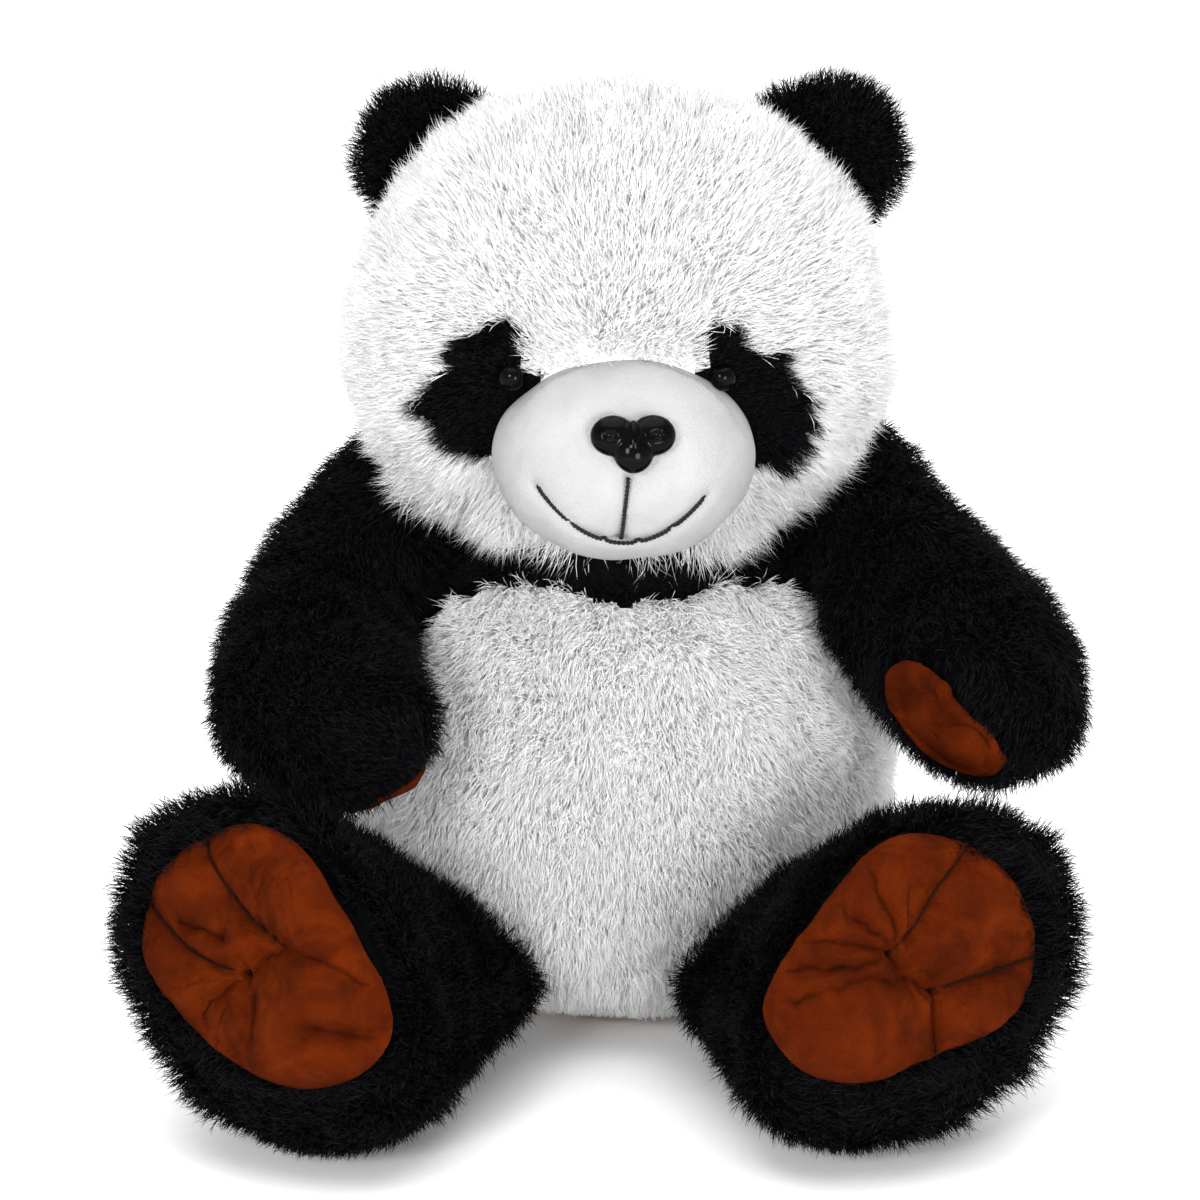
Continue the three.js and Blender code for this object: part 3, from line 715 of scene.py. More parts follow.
STRANDS_PER_PIECE = 19500
TIP_AHEAD = 4.5  # How far along its lie a strand is tested for where it may grow, in millimetres.
TUFT_CELL = 4.6  # The size of the cells whose strands lean together, in millimetres.
GATHER = 0.3  # How far the strands of a tuft lean to their shared tip.
GLINT_SHARE = 0.12  # The share of strands in the shinier tone.
HEAD_CLEARANCE = -3.0  # Strands may reach 3 mm into the room that the head moves in.
LOWEST_STRAND = 0.6  # No strand goes under this height, in millimetres.
SKIN_INSET = -4.5  # The skin under long pile is built 4.5 mm inside the CAD's surface.


def surface_area(obj):
    co, tris = coordinates(obj), triangles(obj)
    a, b, c = (co[tris[:, i]] for i in range(3))
    return np.linalg.norm(np.cross(b - a, c - a), axis=1).sum() / 2


def riding(body):
    return lambda piece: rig.ride(piece, body)


def sample(obj, count, rng):
    """Random points over a mesh with their smooth normals."""
    co, tris, normals = coordinates(obj), triangles(obj), vertex_normals(obj)
    a, b, c = (co[tris[:, i]] for i in range(3))
    area = np.linalg.norm(np.cross(b - a, c - a), axis=1)
    chosen = rng.choice(len(tris), count, p=area / area.sum())
    u, v = rng.random(count), rng.random(count)
    flip = u + v > 1
    u[flip], v[flip] = 1 - u[flip], 1 - v[flip]
    w = 1 - u - v
    mix = lambda values: sum(k[:, None] * values[tris[chosen, i]] for i, k in enumerate((w, u, v)))
    n = mix(normals)
    return mix(co), n / np.linalg.norm(n, axis=1, keepdims=True)


def unit(v):
    return v / np.maximum(np.linalg.norm(v, axis=-1, keepdims=True), 1e-9)


def pile(name, skin, density, materials, keep, comb, seed, slot, hold, length=9.0, width=0.32, lean=1.1,
         avoid_head=False):
    """Long pile as closed tapered strands gathered into tufts, in pieces of a size that's easy to handle.
    keep(roots, tips) gives each strand's share of full length, 0 for none; comb(points) gives the way it
    lies; density is strands per square millimetre; hold(piece) ties each piece to its body."""
    rng = np.random.default_rng(seed)
    p, n = sample(skin, int(density * surface_area(skin)), rng)
    flow = comb(p)
    flow = unit(flow - n * np.einsum("ij,ij->i", flow, n)[:, None])
    share = keep(p, p + flow * TIP_AHEAD)
    chosen = share > 0.02
    p, n, share, flow = p[chosen], n[chosen], share[chosen], flow[chosen]
    flow = flow + 0.3 * np.stack([ripple(p, 26, seed + i) for i in (11, 12, 13)], 1)
    jitter = rng.normal(0, 0.48, p.shape)
    uneven = 0.95 + 0.15 * ripple(p, 17, seed + 5) + rng.normal(0, 0.22, len(p))
    tall = length * share * uneven.clip(0.4, 1.4)
    bend = lean * (0.85 + 0.35 * ripple(p, 21, seed + 7)).clip(0.1, 1.5)
    way = unit(n + flow * bend[:, None] + jitter)

    # Tufts: strands in one small cell of space lean to a shared tip.
    warped = p + 2.2 * np.stack([ripple(p, 15, seed + i) for i in (21, 22, 23)], 1)
    cell = np.floor(warped / TUFT_CELL + rng.uniform(0, 1, 3)).astype(int)
    owner = np.unique(cell, axis=0, return_inverse=True)[1].ravel()
    number = np.bincount(owner)
    tip = p + way * tall[:, None]
    shared = np.stack([np.bincount(owner, tip[:, i]) / number for i in range(3)], 1)
    shared += rng.normal(0, 0.5, shared.shape)
    pull = (GATHER * rng.uniform(0.3, 1.0, len(p)))[:, None]
    tip = tip * (1 - pull) + shared[owner] * pull
    middle = (p + tip) / 2 + n * (0.16 * tall)[:, None]
    if avoid_head:
        middle, tip = clear_the_head(middle, HEAD_CLEARANCE), clear_the_head(tip, HEAD_CLEARANCE)
    for ends in (middle, tip):
        ends[:, 2] = np.maximum(ends[:, 2], LOWEST_STRAND)
    pieces = math.ceil(len(p) / STRANDS_PER_PIECE)
    for i in range(pieces):
        part = slice(i, None, pieces)
        root = p[part] - n[part] * 0.6
        piece = strands(f"{name}_{i + 1}", root, middle[part], tip[part], width, materials, rng)
        hold(piece)
        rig.slot(piece, slot)


def strands(name, root, middle, tip, width, materials, rng):
    """Closed three-sided strands with a bend, all in one mesh."""
    number = len(root)
    axis = unit(tip - root)
    side = unit(np.cross(axis, rng.normal(size=axis.shape)))
    other = np.cross(axis, side)
    turn = 2 * math.pi * np.arange(3) / 3
    ring = side[:, None] * np.cos(turn)[None, :, None] + other[:, None] * np.sin(turn)[None, :, None]
    thick = width / 2 * rng.uniform(0.75, 1.25, number)[:, None, None]
    co = np.concatenate([root[:, None] + ring * thick, middle[:, None] + ring * thick * 0.7, tip[:, None]], 1)
    pattern = [0, 1, 4, 3, 1, 2, 5, 4, 2, 0, 3, 5, 3, 4, 6, 4, 5, 6, 5, 3, 6, 2, 1, 0]
    starts = [0, 4, 8, 12, 15, 18, 21]
    index = (np.array(pattern)[None] + 7 * np.arange(number)[:, None]).ravel()
    start = (np.array(starts)[None] + 24 * np.arange(number)[:, None]).ravel()
    mesh = bpy.data.meshes.new(name)
    mesh.vertices.add(7 * number)
    mesh.vertices.foreach_set("co", (co * MM).ravel())
    mesh.loops.add(24 * number)
    mesh.loops.foreach_set("vertex_index", index)
    mesh.polygons.add(7 * number)
    mesh.polygons.foreach_set("loop_start", start)
    shiny = rng.random(number) < GLINT_SHARE
    if materials is WHITE_FUR:
        lower, upper = np.where(shiny, 2, 1), np.where(rng.random(number) < 0.35, 1, 0)
    else:
        lower, upper = np.ones(number, int), np.where(shiny, 2, 0)
    slots = np.stack([lower, lower, lower, upper, upper, upper, lower], 1)
    mesh.polygons.foreach_set("material_index", slots.ravel().astype(np.int32))
    mesh.polygons.foreach_set("use_smooth", np.ones(7 * number, bool))
    for material in materials:
        mesh.materials.append(material)
    mesh.update(calc_edges=True)
    obj = bpy.data.objects.new(name, mesh)
    scene.collection.objects.link(obj)
    return obj


def standing(point, direction, up):
    """A frame whose Z points along a direction and whose Y lies as near as it can to up, as 3 rows."""
    z = unit(np.array(direction, float))
    x = unit(np.cross(np.array(up, float), z))
    return np.array(point, float), np.array([x, np.cross(z, x), z])


def into(place, points):
    origin, axes = place
    return (points - origin) @ axes.T


def out_of(place, local):
    origin, axes = place
    return local @ axes + origin


def step(value, low, high):
    t = np.clip((value - low) / (high - low), 0, 1)
    return t * t * (3 - 2 * t)


# ---- Head ------------------------------------------------------------------------------------------------

def ellipsoid_value(points, centre, radii, grow):
    return np.linalg.norm((points - centre) / (np.asarray(radii) + grow), axis=1)


def eye_place(sign):
    """Where an eye sits on the outside of the head, and the frame it faces along."""
    x, z = sign * 33.0, 227.0
    side, rise = (x - HEAD_CENTRE[0]) / HEAD_RADII[0], (z - HEAD_CENTRE[2]) / HEAD_RADII[2]
    y = HEAD_CENTRE[1] - HEAD_RADII[1] * math.sqrt(1 - side * side - rise * rise)
    point = np.array([x, y, z])
    return standing(point, (point - HEAD_CENTRE) / HEAD_RADII**2, (0, 0, 1))


EYE_PLACES = {"right": eye_place(-1), "left": eye_place(1)}

# The outlines of the black pile round the eyes, seen from the front: across and up, in millimetres.
PATCHES = {
    "right": [(-39.5, 246.4), (-30.6, 246.2), (-29.7, 236.3), (-28.5, 230.8), (-22.5, 228.4), (-24, 220),
              (-32, 212),
              (-36.5, 205), (-38.3, 197.9), (-44.2, 199.1), (-55.6, 201.2), (-57.3, 207.4), (-64.9, 211.9),
              (-62.7, 218.7), (-53.9, 228.2), (-52.8, 237.7), (-46.3, 240.3)],
    "left": [(29.1, 246.3), (36.4, 247.5), (40.1, 240), (46.7, 234.8), (53.3, 233), (56.4, 222),
             (63.6, 212.3),
             (61.3, 199.5), (53.8, 192.6), (42.8, 196), (38, 204), (33, 212), (24, 219), (21, 226),
             (23, 229.5),
             (28.5, 231.7), (29, 235.4), (24.5, 240.2)],
}


def inside_outline(x, z, outline):
    inside = np.zeros(len(x), bool)
    for (x0, z0), (x1, z1) in zip(outline, outline[1:] + outline[:1]):
        crosses = ((z0 > z) != (z1 > z)) & (x < (x1 - x0) * (z - z0) / (z1 - z0 + 1e-12) + x0)
        inside ^= crosses
    return inside


def in_patches(points):
    wobble = 1.2 * ripple(points, 9, 91)
    found = np.zeros(len(points), bool)
    for outline in PATCHES.values():
        found |= inside_outline(points[:, 0] + wobble, points[:, 2] + wobble, outline)
    return found & (points[:, 1] < HEAD_CENTRE[1] - 20)


def round_muzzle(points):
    """0 in the muzzle and at the eyes, 1 well away from them."""
    clear = step(ellipsoid_value(points, MUZZLE_CENTRE, MUZZLE_RADII, 0), 0.97, 1.3)
    for place in EYE_PLACES.values():
        clear = np.minimum(clear, step(np.linalg.norm(points - place[0], axis=1), 2.6, 6))
    return clear


EAR_RADII = np.array([24.0, 30.0, 6.5])
EAR_DEPTH = np.mean(node_box("ear_front_left", "ear_back_left"), 0)[1]
EAR_CENTRES = {"right": np.array([-53.2, EAR_DEPTH, 278.3]), "left": np.array([61.8, EAR_DEPTH, 279.5])}


def ear_place(side):
    away = unit(np.array([-0.79 if side == "right" else 0.79, 0, 0.61]))
    return away, standing(EAR_CENTRES[side], (0, -1, 0), away)


def over_the_ears(points):
    """True where the head pile would lie across an ear."""
    inside = np.zeros(len(points), bool)
    for side in EAR_CENTRES:
        local = into(ear_place(side)[1], points) / (EAR_RADII + np.array([1, 1, 5]))
        inside |= np.linalg.norm(local, axis=1) < 1
    return inside


def head_keep(roots, tips, black):
    clear = round_muzzle(roots)
    jaw = 1 + 0.7 * step(-roots[:, 2], -212, -180)
    share = np.where((clear > 0) & ~over_the_ears(tips), (0.45 + 0.55 * clear) * jaw, 0)
    return np.where(in_patches(tips) == black, share, 0)


def head_comb(points):
    """The pile lies away from the top of the muzzle, then down at the sides and back."""
    away = unit(points - (MUZZLE_CENTRE + np.array([0, -30, 14])))
    down = np.array([0, 0.15, -1.0])
    back = step(points[:, 1], -30, 50)[:, None]
    return away * (1 - back) + down * back


def build_head():
    skin = ellipsoid("head_skin", HEAD_CENTRE, HEAD_RADII, SKIN_INSET)
    remesh(skin, 5, 2)
    co = coordinates(skin)
    rise = (co[:, 2] - HEAD_CENTRE[2]) / HEAD_RADII[2]
    cheeks = np.exp(-(((rise + 0.33) / 0.3) ** 2))
    co[:, 0] = HEAD_CENTRE[0] + (co[:, 0] - HEAD_CENTRE[0]) * (1.01 + 0.065 * cheeks)
    co[:, 2] -= 2.5 * step(-rise, 0.3, 0.9)
    set_coordinates(skin, co)
    swell(skin, 0.9, 60, 3)
    inflate(skin, 2.5, 3.0)
    subdivide(skin)
    smooth_shaded(skin)
    cover(skin, WHITE_BACKING, BLACK_BACKING)
    centres = np.array([tuple(f.center) for f in skin.data.polygons]) / MM
    skin.data.polygons.foreach_set("material_index", in_patches(centres).astype(np.int32))
    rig.ride(skin, "head")
    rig.replaces(
        skin,
        *[f"{part}_{side}" for part in ("face", "head_back", "eye_patch") for side in ("left", "right")],
        "head_filling",
    )
    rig.slot(skin, "white_pile")
    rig.padded(skin, fill=0.9)
    front = lambda p, q: np.where(p[:, 1] < 0, head_keep(p, q, False), 0)
    back = lambda p, q: np.where(p[:, 1] >= 0, head_keep(p, q, False), 0)
    black = lambda p, q: np.where(p[:, 1] < -30, head_keep(p, q, True), 0)
    pile("face_pile", skin, 2.6, WHITE_FUR, front, head_comb, 101, "white_pile", riding("head"), 9.0, 0.3)
    pile("head_back_pile", skin, 1.5, WHITE_FUR, back, head_comb, 102, "white_pile", riding("head"), 9.0)
    pile("eye_patch_pile", skin, 1.6, BLACK_FUR, black, head_comb, 103, "black_pile", riding("head"), 7.0)


build_head()


def on_muzzle(x, z):
    side, rise = (x - MUZZLE_CENTRE[0]) / MUZZLE_RADII[0], (z - MUZZLE_CENTRE[2]) / MUZZLE_RADII[2]
    y = MUZZLE_CENTRE[1] - MUZZLE_RADII[1] * np.sqrt(np.maximum(0, 1 - side**2 - rise**2))
    return np.stack([x, y, z], -1)


def smile_path(steps):
    s = np.linspace(-1, 1, steps)
    return on_muzzle(1 + 26 * s, 180.3 + 17 * s * s - 1.5 * s)


def mouth_line_path(steps):
    s = np.linspace(0, 1, steps)
    return on_muzzle(1 + 2.2 * s, 181 + 22 * s)


def distance_to_path(points, path):
    return np.min(np.linalg.norm(points[:, None] - path[None], axis=2), 1)


def build_muzzle():
    skin = ellipsoid("muzzle_skin", MUZZLE_CENTRE, MUZZLE_RADII, -0.6, 120, 90)
    co = coordinates(skin)
    rise = (co[:, 2] - MUZZLE_CENTRE[2]) / MUZZLE_RADII[2]
    co[:, 0] = MUZZLE_CENTRE[0] + (co[:, 0] - MUZZLE_CENTRE[0]) * (1 - 0.07 * step(rise, 0, 1))
    normals = vertex_normals(skin)
    front = co[:, 1] < MUZZLE_CENTRE[1]
    dip = np.zeros(len(co))
    for path, depth, reach in ((smile_path(60), 1.3, 2.4), (mouth_line_path(40), 1.5, 2.6)):
        near = distance_to_path(co, path)
        dip += depth * np.exp(-((near / reach) ** 2))
    nose_low, nose_high = node_box("nose")
    nose_at = on_muzzle((nose_low[0] + nose_high[0]) / 2, (nose_low[2] + nose_high[2]) / 2)
    dip += 1.6 * np.exp(-((np.linalg.norm(co - nose_at, axis=1) / 13) ** 4))
    co -= normals * (dip * front)[:, None]
    cheek = np.exp(-(((np.abs(co[:, 0] - MUZZLE_CENTRE[0]) - 24) / 12) ** 2))
    cheek *= co[:, 1] < MUZZLE_CENTRE[1] - 12
    co += normals * (0.9 * cheek + 0.25 * ripple(co, 22, 31))[:, None]
    set_coordinates(skin, co)
    smooth_shaded(skin)
    cover(skin, MUZZLE_MATERIAL)
    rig.ride(skin, "head")
    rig.replaces(skin, "muzzle_left", "muzzle_right", "muzzle_filling")
    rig.slot(skin, "muzzle_cloth")
    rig.padded(skin, fill=0.95)


build_muzzle()


PLIES, PLY_SIDES = 2, 6
PLY_TWIST = 2.6  # The length of one turn of the plies, in millimetres.
THREAD_TAPER = 0.5  # The length over which a thread thins at its ends, in millimetres.


def cord_tube(name, path, radius, material):
    """A twisted thread along a path: plies wound round each other, each a closed tube."""
    run = np.sum(np.linalg.norm(np.diff(path, axis=0), axis=1))
    line, length = centripetal(path, max(20, int(2.2 * run)))
    tangent = unit(np.gradient(line, axis=0))
    side = unit(np.cross(tangent, (0.3, -1.0, 0.2)))
    other = np.cross(tangent, side)
    points, faces = [], []
    along = np.linspace(0, 1, len(line))
    size = radius * np.clip(np.minimum(along, 1 - along) * length / THREAD_TAPER, 0.15, 1)
    for ply in range(PLIES):
        phase = 2 * math.pi * (ply / PLIES + along * length / PLY_TWIST)
        around = side * np.cos(phase)[:, None] + other * np.sin(phase)[:, None]
        centre = line + around * (size * 0.42)[:, None]
        base = len(points)
        for i in range(len(line)):
            for k in range(PLY_SIDES):
                angle = 2 * math.pi * k / PLY_SIDES
                spoke = side[i] * math.cos(angle) + other[i] * math.sin(angle)
                points.append(centre[i] + spoke * size[i] * 0.62)
        for i in range(len(line) - 1):
            for k in range(PLY_SIDES):
                a, b = base + i * PLY_SIDES + k, base + i * PLY_SIDES + (k + 1) % PLY_SIDES
                faces.append((a, b, b + PLY_SIDES, a + PLY_SIDES))
        faces.append(tuple(base + k for k in reversed(range(PLY_SIDES))))
        faces.append(tuple(base + (len(line) - 1) * PLY_SIDES + k for k in range(PLY_SIDES)))
    obj = smooth_shaded(new_object(name, points, faces, [material]))
    return face_outwards(obj)


def build_mouth():
    # Long hand stitches: each one dips into the cloth at its ends.
    threads = (("smile_thread", smile_path(61), 5, 0.95), ("mouth_line_thread", mouth_line_path(31), 2, 1.15))
    for name, path, stitches, dip in threads:
        outward = unit((path - MUZZLE_CENTRE) / MUZZLE_RADII**2)
        share = np.linspace(0, stitches, len(path)) % 1
        share[-1] = 1
        lift = 0.35 - 1.1 * np.exp(-((np.minimum(share, 1 - share) / 0.07) ** 2))
        thread = cord_tube(f"{name}_stitches", path + outward * (lift - dip)[:, None], 0.7, THREAD)
        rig.ride(thread, "head")
        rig.replaces(thread, name)
        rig.slot(thread, "black_thread")


build_mouth()


def merged_blobs(name, blobs, cuts, voxel, smooth):
    """Ellipsoids joined into one smooth body, less some others."""
    body = None
    for i, (centre, radii) in enumerate(blobs + cuts):
        blob = ellipsoid(f"{name}_blob_{i}", np.array(centre, float), np.array(radii, float), 0, 32, 24)
        if body is None:
            body = blob
            continue
        modifier = body.modifiers.new("Boolean", "BOOLEAN")
        modifier.operation = "UNION" if i < len(blobs) else "DIFFERENCE"
        modifier.solver = "EXACT"
        modifier.object = blob
        apply_modifiers(body)
        bpy.data.objects.remove(blob, do_unlink=True)
    body.name = name
    return smooth_shaded(remesh(body, voxel, smooth))


def build_nose():
    low, high = node_box("nose")
    middle = on_muzzle((low[0] + high[0]) / 2, (low[2] + high[2]) / 2)
    out = unit((middle - MUZZLE_CENTRE) / MUZZLE_RADII**2)
    place = standing(middle, out, (0, 0, 1))
    blobs = [((-5.9, 2.3, 0.3), (6.9, 6.2, 4.4)), ((5.9, 2.3, 0.3), (6.9, 6.2, 4.4)),
             ((0, -2.2, 0.6), (6.2, 7.0, 4.6)), ((0, 0.5, 2.0), (2.4, 6.2, 3.7))]
    cuts = [((-7.0, 1.6, 5.8), (2.7, 2.0, 2.6)), ((7.0, 1.6, 5.8), (2.7, 2.0, 2.6))]
    nose = merged_blobs("nose_moulding", blobs, cuts, 0.4, 9)
    co = coordinates(nose)
    co[:, 2] = np.maximum(co[:, 2], -1.4)
    set_coordinates(nose, out_of(place, co))
    nose.data.materials.clear()
    cover(nose, GLOSS_BLACK)
    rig.ride(nose, "head")
    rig.replaces(nose, "nose")
    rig.slot(nose, "gloss_black")


build_nose()


def build_eyes():
    for side, place in EYE_PLACES.items():
        points, faces = sphere_grid(40, 28)
        dome = points[:, [0, 2, 1]] * np.array([4.1, 4.1, 3.5])
        dome[:, 2] = np.where(dome[:, 2] < 0, dome[:, 2] * 0.25, dome[:, 2]) - 2.4
        eye = new_object(f"eye_dome_{side}", out_of(place, dome), faces, [GLOSS_BLACK])
        smooth_shaded(face_outwards(eye))
        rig.ride(eye, "head")
        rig.replaces(eye, f"eye_{side}")
        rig.slot(eye, "gloss_black")


build_eyes()


def build_ears():
    for side, seed in (("right", 201), ("left", 202)):
        centre = EAR_CENTRES[side]
        away, place = ear_place(side)
        points, faces = sphere_grid(48, 36)
        disc = points[:, [0, 2, 1]] * EAR_RADII
        flat = np.clip(1 - np.hypot(disc[:, 0] / EAR_RADII[0], disc[:, 1] / EAR_RADII[1]), 0, 1)
        disc[:, 2] -= 4.0 * np.sqrt(flat) - 2
        skin = face_outwards(new_object(f"ear_{side}", out_of(place, disc), faces, [BLACK_BACKING]))
        smooth_shaded(skin)
        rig.ride(skin, "head")
        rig.replaces(skin, f"ear_front_{side}", f"ear_back_{side}")
        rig.slot(skin, "black_pile")
        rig.padded(skin, fill=0.5)
        keep = lambda p, q: np.where(ellipsoid_value(p, HEAD_CENTRE, HEAD_RADII, -5) > 1, 1.0, 0)
        comb = lambda p, c=centre, a=away: (p - c) + 6 * a
        pile(f"ear_pile_{side}", skin, 2.2, BLACK_FUR, keep, comb, seed, "black_pile", riding("head"), 7.5,
             lean=0.8)


build_ears()

# ---- Torso -----------------------------------------------------------------------------------------------

# The lower edge of the black chest band: across and up.
YOKE_EDGE = np.array([
    (-90, 100), (-75, 118), (-61, 134), (-51.6, 146), (-37, 151.4), (-18, 153.2), (-5, 149.7), (20, 149.1),
    (32.7, 152), (52.3, 147.6), (69, 136.4), (77, 124), (90, 100),
])


def above_yoke(points):
    front = np.interp(points[:, 0], YOKE_EDGE[:, 0], YOKE_EDGE[:, 1]) - 0.5
    edge = front + (YOKE - front) * step(points[:, 1], -10, 25)
    return points[:, 2] > edge + 1.2 * ripple(points, 10, 41)


SEAM_AT = 3.0


def build_torso():
    skin = soft_shape("torso_skin", TORSO, SKIN_INSET)
    remesh(skin, 5, 3)
    swell(skin, 1.0, 55, 5)
    inflate(skin, 2.5, 3.0)
    co = clear_the_head(coordinates(skin), 0.5)
    co[:, 2] = np.maximum(co[:, 2], 0.8)
    set_coordinates(skin, co)
    subdivide(skin)
    smooth_shaded(skin)
    cover(skin, WHITE_BACKING, BLACK_BACKING, SEAT_CLOTH)
    centres = np.array([tuple(f.center) for f in skin.data.polygons]) / MM
    index = above_yoke(centres).astype(np.int32)
    index[centres[:, 2] < 7.0] = 2
    skin.data.polygons.foreach_set("material_index", index)
    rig.ride(skin, "torso")
    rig.replaces(skin, "belly_left", "belly_right", "back_left", "back_right", "chest_band", "nape_band",
                "seat_panel", "torso_filling")
    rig.slot(skin, "white_pile")
    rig.padded(skin, fill=0.85)

    def keep(roots, tips, black, front):
        share = step(roots[:, 2], 8, 26) * 0.65 + 0.35
        share *= 1 - 0.25 * np.exp(-(((roots[:, 0] - SEAM_AT) / 1.3) ** 2)) * front
        share = np.where(roots[:, 2] < 8.0, 0, share)
        share = np.where((ellipsoid_value(roots, HEAD_CENTRE, HEAD_RADII, -1) > 1), share, 0)
        below = ~above_yoke(tips + np.array([0, 0, 2.5])) & ~above_yoke(roots - np.array([0, 0, 1.0]))
        there = above_yoke((roots + tips) / 2) if black else below
        return np.where(there & ((roots[:, 1] < 0) == front), share, 0)

    def comb(points):
        parting = np.sign(points[:, 0] - SEAM_AT) * np.exp(-(((points[:, 0] - SEAM_AT) / 5) ** 2))
        out = unit(points * np.array([1, 1, 0]))
        return np.array([0, 0, -1.0]) + 0.25 * out + 0.25 * parting[:, None] * np.array([1, 0, 0])

    for name, black, front, density, seed in (
        ("belly_pile", False, True, 2.4, 301), ("back_pile", False, False, 1.6, 302),
        ("chest_pile", True, True, 1.5, 303), ("nape_pile", True, False, 1.1, 304),
    ):
        materials, slot, length = (BLACK_FUR, "black_pile", 8.0) if black else (WHITE_FUR, "white_pile", 9.0)
        where = lambda p, q, b=black, f=front: keep(p, q, b, f)
        pile(name, skin, density, materials, where, comb, seed, slot, riding("torso"),
             length, avoid_head=black)


build_torso()


def build_neck():
    skin = soft_shape(
        "neck_sleeve",
        dict(spine=[(0, -6, 138), (0, -8, 160), (0, -9, 192)], widths=[44, 46, 44], depths=[40, 42, 40],
             up=(0, -1, 0), blunt=(0.5, 0.5)),
        0, 48, 30,
    )
    smooth_shaded(skin)
    cover(skin, BLACK_BACKING)
    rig.blend(skin, "torso", "neck", start=(0, -0.008, 0.145), end=(0, -0.008, 0.185))
    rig.replaces(skin, "neck_filling")
    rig.slot(skin, "filling")
    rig.padded(skin, fill=0.9)


build_neck()


def build_tail():
    centre, radii = np.array([0.0, 74.0, 40.0]), np.array([17.0, 14.0, 15.0])
    skin = ellipsoid("tail_skin", centre, radii, -4, 40, 28)
    swell(smooth_shaded(skin), 0.5, 20, 8)
    cover(skin, WHITE_BACKING)
    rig.ride(skin, "torso")
    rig.replaces(skin, "tail")
    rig.slot(skin, "white_pile")
    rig.padded(skin, fill=0.8)
    keep = lambda p, q: np.where(p[:, 1] > 66, 0.9, 0)
    comb = lambda p: np.tile(np.array([0, 0.4, -1.0]), (len(p), 1))
    pile("tail_pile", skin, 1.3, WHITE_FUR, keep, comb, 401, "white_pile", riding("torso"), 8.5)


build_tail()

# ---- Limbs -----------------------------------------------------------------------------------------------


def nearest_tangent(points, spine):
    line, _ = centripetal(spine, 40)
    tangent = unit(np.gradient(line, axis=0))
    index = np.argmin(np.linalg.norm(points[:, None] - line[None], axis=2), 1)
    return tangent[index]


def bvh_of(obj):
    co, tris = coordinates(obj), triangles(obj)
    return BVHTree.FromPolygons([tuple(p) for p in co], [tuple(t) for t in tris])


def oval(long, short):
    turn = np.linspace(0, 2 * math.pi, 48, endpoint=False)
    return np.c_[short * np.cos(turn), long * np.sin(turn)]


def disc_in_outline(outline, middle, pitch):
    """A grid of points filling a closed outline, and each one's share of the way from its middle to its rim.
    """
    rim = np.array(outline, float) - middle
    angle, reach = np.arctan2(rim[:, 1], rim[:, 0]), np.hypot(rim[:, 0], rim[:, 1])
    order = np.argsort(angle)
    angle, reach = angle[order], reach[order]
    fine = np.linspace(-math.pi, math.pi, 361)
    radius = np.interp(fine, angle, reach, period=2 * math.pi)
    kernel = np.hanning(25) / np.hanning(25).sum()
    radius = np.convolve(np.r_[radius[-37:-1], radius, radius[1:37]], kernel, "same")[36:-36]
    half = reach.mean()
    count = int(2 * half / pitch)
    u, v = np.meshgrid(np.linspace(-1, 1, count), np.linspace(-1, 1, count))
    x, y = (u * np.sqrt(1 - v * v / 2)).ravel(), (v * np.sqrt(1 - u * u / 2)).ravel()
    spread = np.hypot(x, y)
    scale = np.interp(np.arctan2(y, x), fine, radius)
    flat = np.c_[x * scale, y * scale] + middle
    faces = [
        (a, a + 1, a + 1 + count, a + count)
        for r in range(count - 1) for a in range(r * count, r * count + count - 1)
    ]
    return flat, spread, faces, count


def near_line(points, line):
    """Each point's distance to a line of straight runs."""
    best = np.full(len(points), 1e9)
    for a, b in zip(np.array(line, float), np.array(line, float)[1:]):
        t = np.clip(((points - a) @ (b - a)) / ((b - a) @ (b - a)), 0, 1)
        best = np.minimum(best, np.linalg.norm(points - (a + t[:, None] * (b - a)), axis=1))
    return best


def drop_onto(tree, place, flat):
    """Heights of points over a surface, looking along a place's own Z."""
    start = out_of(place, np.c_[flat, np.full(len(flat), 60.0)])
    way = Vector(-place[1][2])
    hits = [tree.ray_cast(Vector(origin), way, 200) for origin in start]
    return np.array([60.0 - hit[3] if hit[0] else np.nan for hit in hits])


